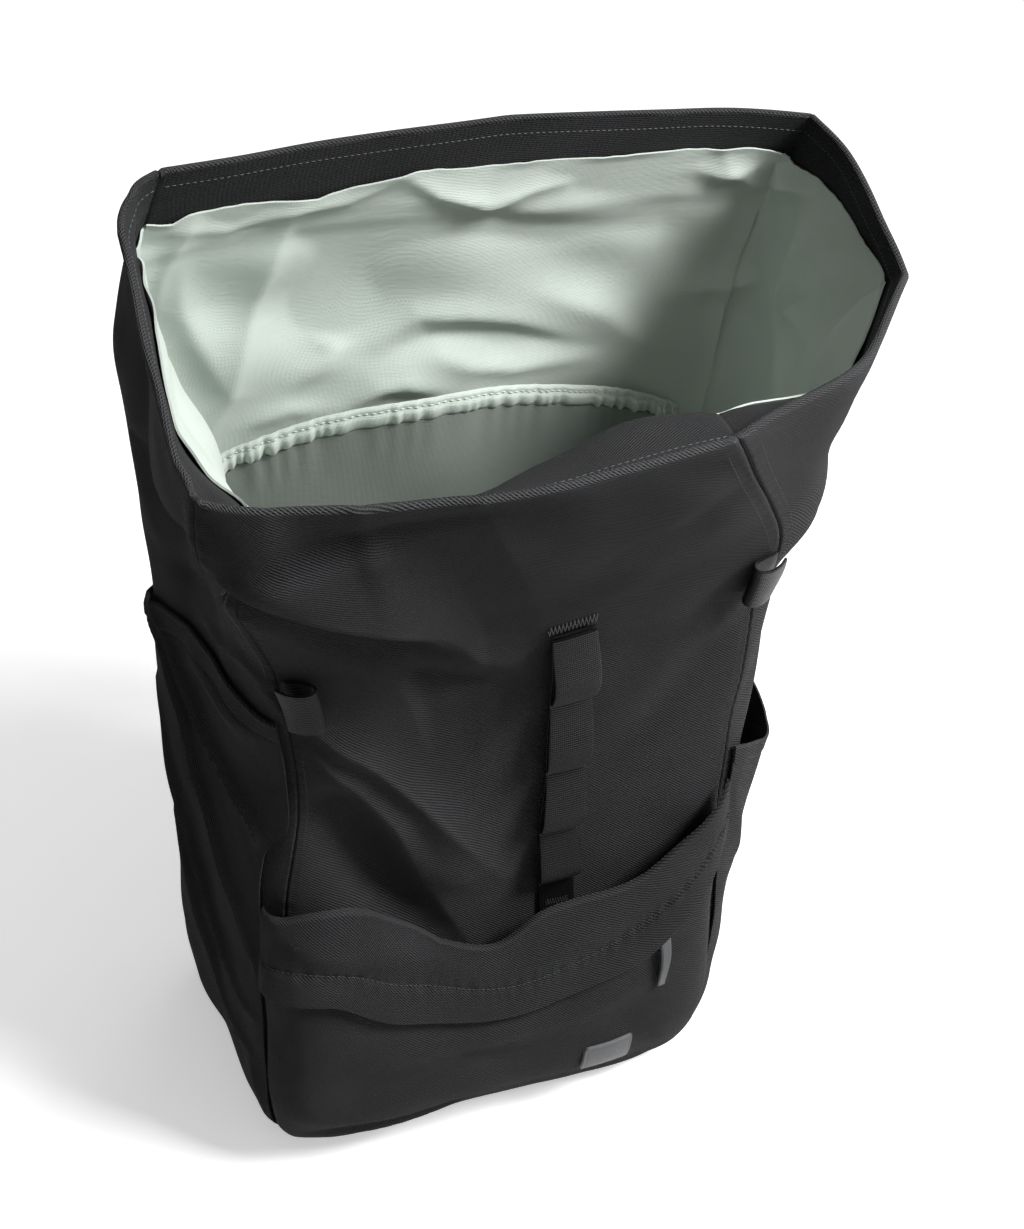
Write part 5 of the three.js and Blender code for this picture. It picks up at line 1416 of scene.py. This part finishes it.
rows = [bar_tack(tack * DAISY_TOP, WEBBING * 0.92, LOOP_LIFT + WEBBING_THICKNESS * 0.62) for tack in TACKS[1:5, 0]]
rows.append(bar_tack(DAISY_TOP - 0.004, WEBBING * 0.92, LOOP_LIFT + WEBBING_THICKNESS * 0.62))
thread_rows("daisy_top_tack", [bar_tack(DAISY_TOP + 0.006, WEBBING * 1.0, 0.0006, 13, 0.009)], dark_thread,
            pitch=0.0011, length=0.0013, thick=0.0007)
rows.append(bar_tack(0.445 * DAISY_TOP, WEBBING * 0.55, BASE_LIFT + WEBBING_THICKNESS * 0.55, 9, 0.004))
thread_rows("daisy_bar_tacks", rows, black_thread, pitch=0.0011, length=0.0013, thick=0.00055)


# Webbing loops in the front seams
# A short piece of webbing folded in two and caught in each front seam, where it lies towards the middle
# and stands a little open.
TAB_LENGTH = 0.040
TAB_REACH = 0.017
TAB_GAP = 0.0065
TAB_LEFT, TAB_RIGHT = 0.412, 0.453
# away from the seam (of TAB_REACH) and lift (of half the loop's depth) along the folded webbing
TAB_SECTION = np.array([
    (0.02, 0.30), (0.30, 0.80), (0.65, 1.00), (0.92, 0.65), (1.00, 0.00), (0.92, -0.65), (0.65, -1.00), (0.10, -1.00),
])


def smooth_path(knots, count):
    """Evenly spaced points and directions on a centripetal Catmull-Rom curve through the knots."""
    knots = np.asarray(knots, float)
    ends = np.concatenate([[2 * knots[0] - knots[1]], knots, [2 * knots[-1] - knots[-2]]])
    gaps = np.sqrt(np.linalg.norm(np.diff(ends, axis=0), axis=1))[:, None]
    t = np.linspace(0, 1, 60)[:, None]
    parts = []
    for k in range(len(knots) - 1):
        a, b, c, d = ends[k:k + 4]
        before, here, after = gaps[k], gaps[k + 1], gaps[k + 2]
        go = ((b - a) / before - (c - a) / (before + here) + (c - b) / here) * here
        arrive = ((c - b) / here - (d - b) / (here + after) + (d - c) / after) * here
        parts.append((2 * t**3 - 3 * t**2 + 1) * b + (t**3 - 2 * t**2 + t) * go
                     + (3 * t**2 - 2 * t**3) * c + (t**3 - t**2) * arrive)
    line = np.concatenate([parts[0][:1]] + [part[1:] for part in parts])
    run = np.concatenate([[0], np.cumsum(np.linalg.norm(np.diff(line, axis=0), axis=1))])
    steps = np.linspace(0, run[-1], count)
    points = np.stack([np.interp(steps, run, line[:, k]) for k in range(line.shape[1])], axis=-1)
    return points, unit(np.gradient(points, axis=0))


def seam_tab(name, node, station, towards, height):
    """The folded webbing as a wall between its two faces, along the fold and up the seam."""
    half = (TAB_GAP + WEBBING_THICKNESS) / 2
    seat = 1.5 * SEAT + WEBBING_THICKNESS / 2
    knots = np.column_stack([TAB_SECTION[:, 0] * TAB_REACH, seat + half * (1 + TAB_SECTION[:, 1])])
    section, along = smooth_path(knots, 60)
    step = 0.1 * towards
    level = np.array(height / RIM_HEIGHT)
    run = step / np.linalg.norm(main_shell(np.array(station), level) - main_shell(np.array(station + step), level))
    rises = np.linspace(-0.5, 0.5, 41)
    ends = np.minimum(1, np.sqrt(np.clip((0.5 - np.abs(rises)) / 0.02, 0, 1)))

    def side(which):
        out = which * towards * (WEBBING_THICKNESS / 2) * (0.45 + 0.55 * ends)[None, :]
        away = section[:, :1] - along[:, 1:] * out
        lift = section[:, 1:] + along[:, :1] * out
        return layer(station + away * run, (height + TAB_LENGTH * rises[None, :] + 0 * away) / RIM_HEIGHT, lift, soft_shell)

    piece = cloth_piece(name, side(1), side(-1), black_webbing, "webbing")
    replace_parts(piece, node)
    rises = np.linspace(-0.46, 0.46, 60)
    zig = np.where(np.arange(60) % 2, 0.0032, 0.0012)
    level = (height + TAB_LENGTH * rises) / RIM_HEIGHT
    line = layer(station + zig * run, level, np.full(60, seat + half * 1.45), soft_shell)
    return line, shell_out(station + zig * run, level)


tab_lines = [seam_tab("left_seam_loop", "loop_left", FRONT_LEFT - 0.02, -1, TAB_LEFT),
             seam_tab("right_seam_loop", "loop_right", FRONT_RIGHT + 0.02, 1, TAB_RIGHT)]


# Back padding
# A foam pad covered in spacer mesh, sewn to the back panel in three quilted channels.
BACK_PAD_HEIGHT = 0.455
BACK_PAD_THICKNESS = 0.009
PAD_SIDE = 0.13
PAD_FOOT = 0.035


def spacer_mesh(name):
    """Knitted spacer mesh: rows of small round holes in a soft black knit, with painted shade darkening the holes."""
    knit = Shader(name)
    uv = knit.node("UVMap", {"uv_map": "cloth"}).outputs["UV"]
    holes = knit.node("TexVoronoi", {"feature": "F1"}, Vector=uv, Scale=420.0, Randomness=0.12).outputs["Distance"]
    open_knit = knit.ramp(holes, (0.0, 0.0), (0.22, 0.0), (0.40, 1.0))
    clouds = knit.noise(uv, 30.0, 4.0, 0.6)
    # Painted shade: the holes take the darkest colour.
    tone = knit.math("MULTIPLY", open_knit, knit.math("MULTIPLY_ADD", clouds, 0.6, 0.5))
    return knit.finish(knit.blend(tone, (0.0025, 0.0025, 0.0028, 1), (0.017, 0.017, 0.018, 1)), open_knit,
                       0.0006, 0.9, Sheen_Weight=0.2, Sheen_Roughness=0.5)


black_mesh = spacer_mesh("black_spacer_mesh")
station = np.linspace(BACK_LEFT + PAD_SIDE, BACK_RIGHT - PAD_SIDE, 150)[:, None]
level = np.linspace(PAD_FOOT, BACK_PAD_HEIGHT / RIM_HEIGHT, 170)[None, :]
station, level = station + 0 * level, level + 0 * station
edge = np.minimum(np.minimum(station - station[0, 0], station[-1, 0] - station) * 0.170,
                  np.minimum(level - PAD_FOOT, level[0, -1] - level) * RIM_HEIGHT)
swell = np.sqrt(np.clip(edge / 0.012, 0, 1) * (2 - np.clip(edge / 0.012, 0, 1)))
channels = sum(np.exp(-((station - s) * 0.170 / 0.0022)**2) for s in (0.72, 1.28))
channels = channels + sum(np.exp(-((level - v - 0.02 * np.cos((station - 1) * 3)) * RIM_HEIGHT / 0.0022)**2)
                          for v in (0.22, 0.40, 0.58))
stand = 0.0022 + BACK_PAD_THICKNESS * swell * (1 - 0.55 * np.clip(channels, 0, 1))
pad = cloth_piece("back_pad", layer(station, level, stand, main_shell), layer(station, level, 0.0009, main_shell),
                  black_mesh, "mesh")
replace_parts(pad, "back_padding")


# Shoulder straps
# Two padded mesh straps from the yoke, each ending in a moulded ladder lock with 25 mm webbing that runs
# down to the bag's lower corner.
STRAP_WIDTH = 0.062
STRAP_THICKNESS = 0.009
STRAP_ANCHOR_HEIGHT = 0.79 * RIM_HEIGHT
STRAP_BOW = 0.072
ADJUSTER_THICKNESS = 0.005
# across (of half BODY_WIDTH), out (of STRAP_BOW off the back wall), height (of STRAP_ANCHOR_HEIGHT)
STRAP_PATH = ((0.32, 0.028, 1.00), (0.32, 0.14, 1.00), (0.33, 0.55, 1.00), (0.42, 0.95, 0.92), (0.60, 1.00, 0.81),
              (0.80, 0.84, 0.72))
ADJUSTER_PATH = ((0.817, 0.815, 0.709), (0.86, 0.75, 0.665))
WEB_PATH = ((0.866, 0.741, 0.6585), (0.881, 0.72, 0.643), (0.90, 0.62, 0.50), (0.88, 0.38, 0.34), (0.84, 0.010, 0.27))


def behind_bag(hand, across, out, height):
    """A point behind the bag: its distance is measured off the back wall at that place."""
    x = hand * across * BODY_WIDTH / 2
    z = height * STRAP_ANCHOR_HEIGHT
    wall = main_shell(np.linspace(BACK_LEFT, BACK_RIGHT, 200), np.full(200, z / RIM_HEIGHT))
    return x, float(np.interp(x, wall[:, 0], wall[:, 1])) + SEAT + out * STRAP_BOW, z


def turned_frames(knots, count, facing):
    """Frames along a smooth path whose broad face looks as nearly as it can in the given directions."""
    points, along = smooth_path(knots, count)
    side = unit(np.cross(facing, along))
    return points, side, unit(np.cross(along, side))


def moulded_nylon(name):
    """Moulded nylon: near black with a fine sand texture and softly glossy edges."""
    cast = Shader(name)
    where = cast.node("TexCoord").outputs["Object"]
    sand = cast.noise(where, 3200.0, 2.0, 0.7)
    clouds = cast.noise(where, 90.0, 2.0, 0.5)
    tone = cast.blend(clouds, (0.008, 0.008, 0.009, 1), (0.014, 0.014, 0.015, 1))
    return cast.finish(tone, sand, 0.00006, cast.math("MULTIPLY_ADD", sand, 0.2, 0.32), Specular_IOR_Level=0.5)


black_nylon = moulded_nylon("black_nylon")
for hand_name, hand in (("left", -1), ("right", 1)):
    share = np.linspace(0, 1, 130)
    facing = np.column_stack([hand * 0.25 * share, np.ones(130), mix(1.2, 0.1, ease(share * 2))])
    frames = turned_frames([behind_bag(hand, *row) for row in STRAP_PATH], 130, facing)
    ends = np.sqrt(np.clip(np.minimum(share, 1 - share) / 0.03, 0, 1))
    quilt = 1 - 0.30 * sum(np.exp(-((share - s) / 0.010)**2) for s in (0.30, 0.52, 0.74))
    strap = strap_piece("shoulder_strap_" + hand_name, frames, mix(STRAP_WIDTH, STRAP_WIDTH * 0.72, share),
                        STRAP_THICKNESS * (0.45 + 0.55 * ends) * quilt, black_mesh, around=48, edge=0.55)
    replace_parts(strap, "strap_pad_" + hand_name)
    facing = np.broadcast_to([hand * 0.25, 1.0, 0.1], (60, 3))
    frames = turned_frames([behind_bag(hand, *row) for row in ADJUSTER_PATH], 60, facing)
    t = np.linspace(0, 1, 60)
    bars = sum(np.exp(-(np.abs(t - s) / 0.13)**4) for s in (0.12, 0.5, 0.88))
    lock = strap_piece("ladder_lock_" + hand_name, frames, (WEBBING + 0.008) * (0.94 + 0.06 * bars),
                       ADJUSTER_THICKNESS * (0.45 + 0.55 * bars), black_nylon, around=32, edge=0.3)
    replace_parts(lock, "adjuster_" + hand_name)
    facing = np.broadcast_to([hand * 0.25, 1.0, 0.1], (110, 3))
    frames = turned_frames([behind_bag(hand, *row) for row in WEB_PATH], 110, facing)
    web = strap_piece("strap_web_" + hand_name, frames, WEBBING, WEBBING_THICKNESS, black_webbing)
    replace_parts(web, "strap_webbing_" + hand_name)


# Grab handle
# An arched strap of doubled webbing above the yoke, with both ends sewn flat to the back panel.
HANDLE_SPAN = 0.096
HANDLE_RISE = 0.030
HANDLE_HEIGHT = 0.87 * RIM_HEIGHT
HANDLE_THICKNESS = 0.004
# across (of HANDLE_SPAN), out (of HANDLE_RISE)
HANDLE_ARCH = np.array([(-0.62, 0), (-0.48, 0.04), (-0.36, 0.6), (0, 1), (0.36, 0.6), (0.48, 0.04), (0.62, 0)])
stations = BACK + HANDLE_ARCH[:, 0] * HANDLE_SPAN / (BODY_WIDTH / 2)
lifts = SEAT + HANDLE_THICKNESS / 2 + HANDLE_ARCH[:, 1] * HANDLE_RISE
knots = layer(stations, np.full(7, HANDLE_HEIGHT / RIM_HEIGHT), lifts)
face = shell_out(np.array(float(BACK)), np.array(HANDLE_HEIGHT / RIM_HEIGHT))
frames = turned_frames(knots, 120, np.broadcast_to(face, (120, 3)))
plump = 0.72 + 0.28 * np.sin(math.pi * np.linspace(0, 1, 120))
handle = strap_piece("grab_handle_webbing", frames, WEBBING * (0.86 + 0.14 * np.abs(np.linspace(-1, 1, 120))**2),
                     HANDLE_THICKNESS * plump, black_webbing, crown=0.12)
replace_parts(handle, "grab_handle")
thread_rows("loop_tacks", tab_lines, black_thread, pitch=0.0012, length=0.0013, thick=0.0005)
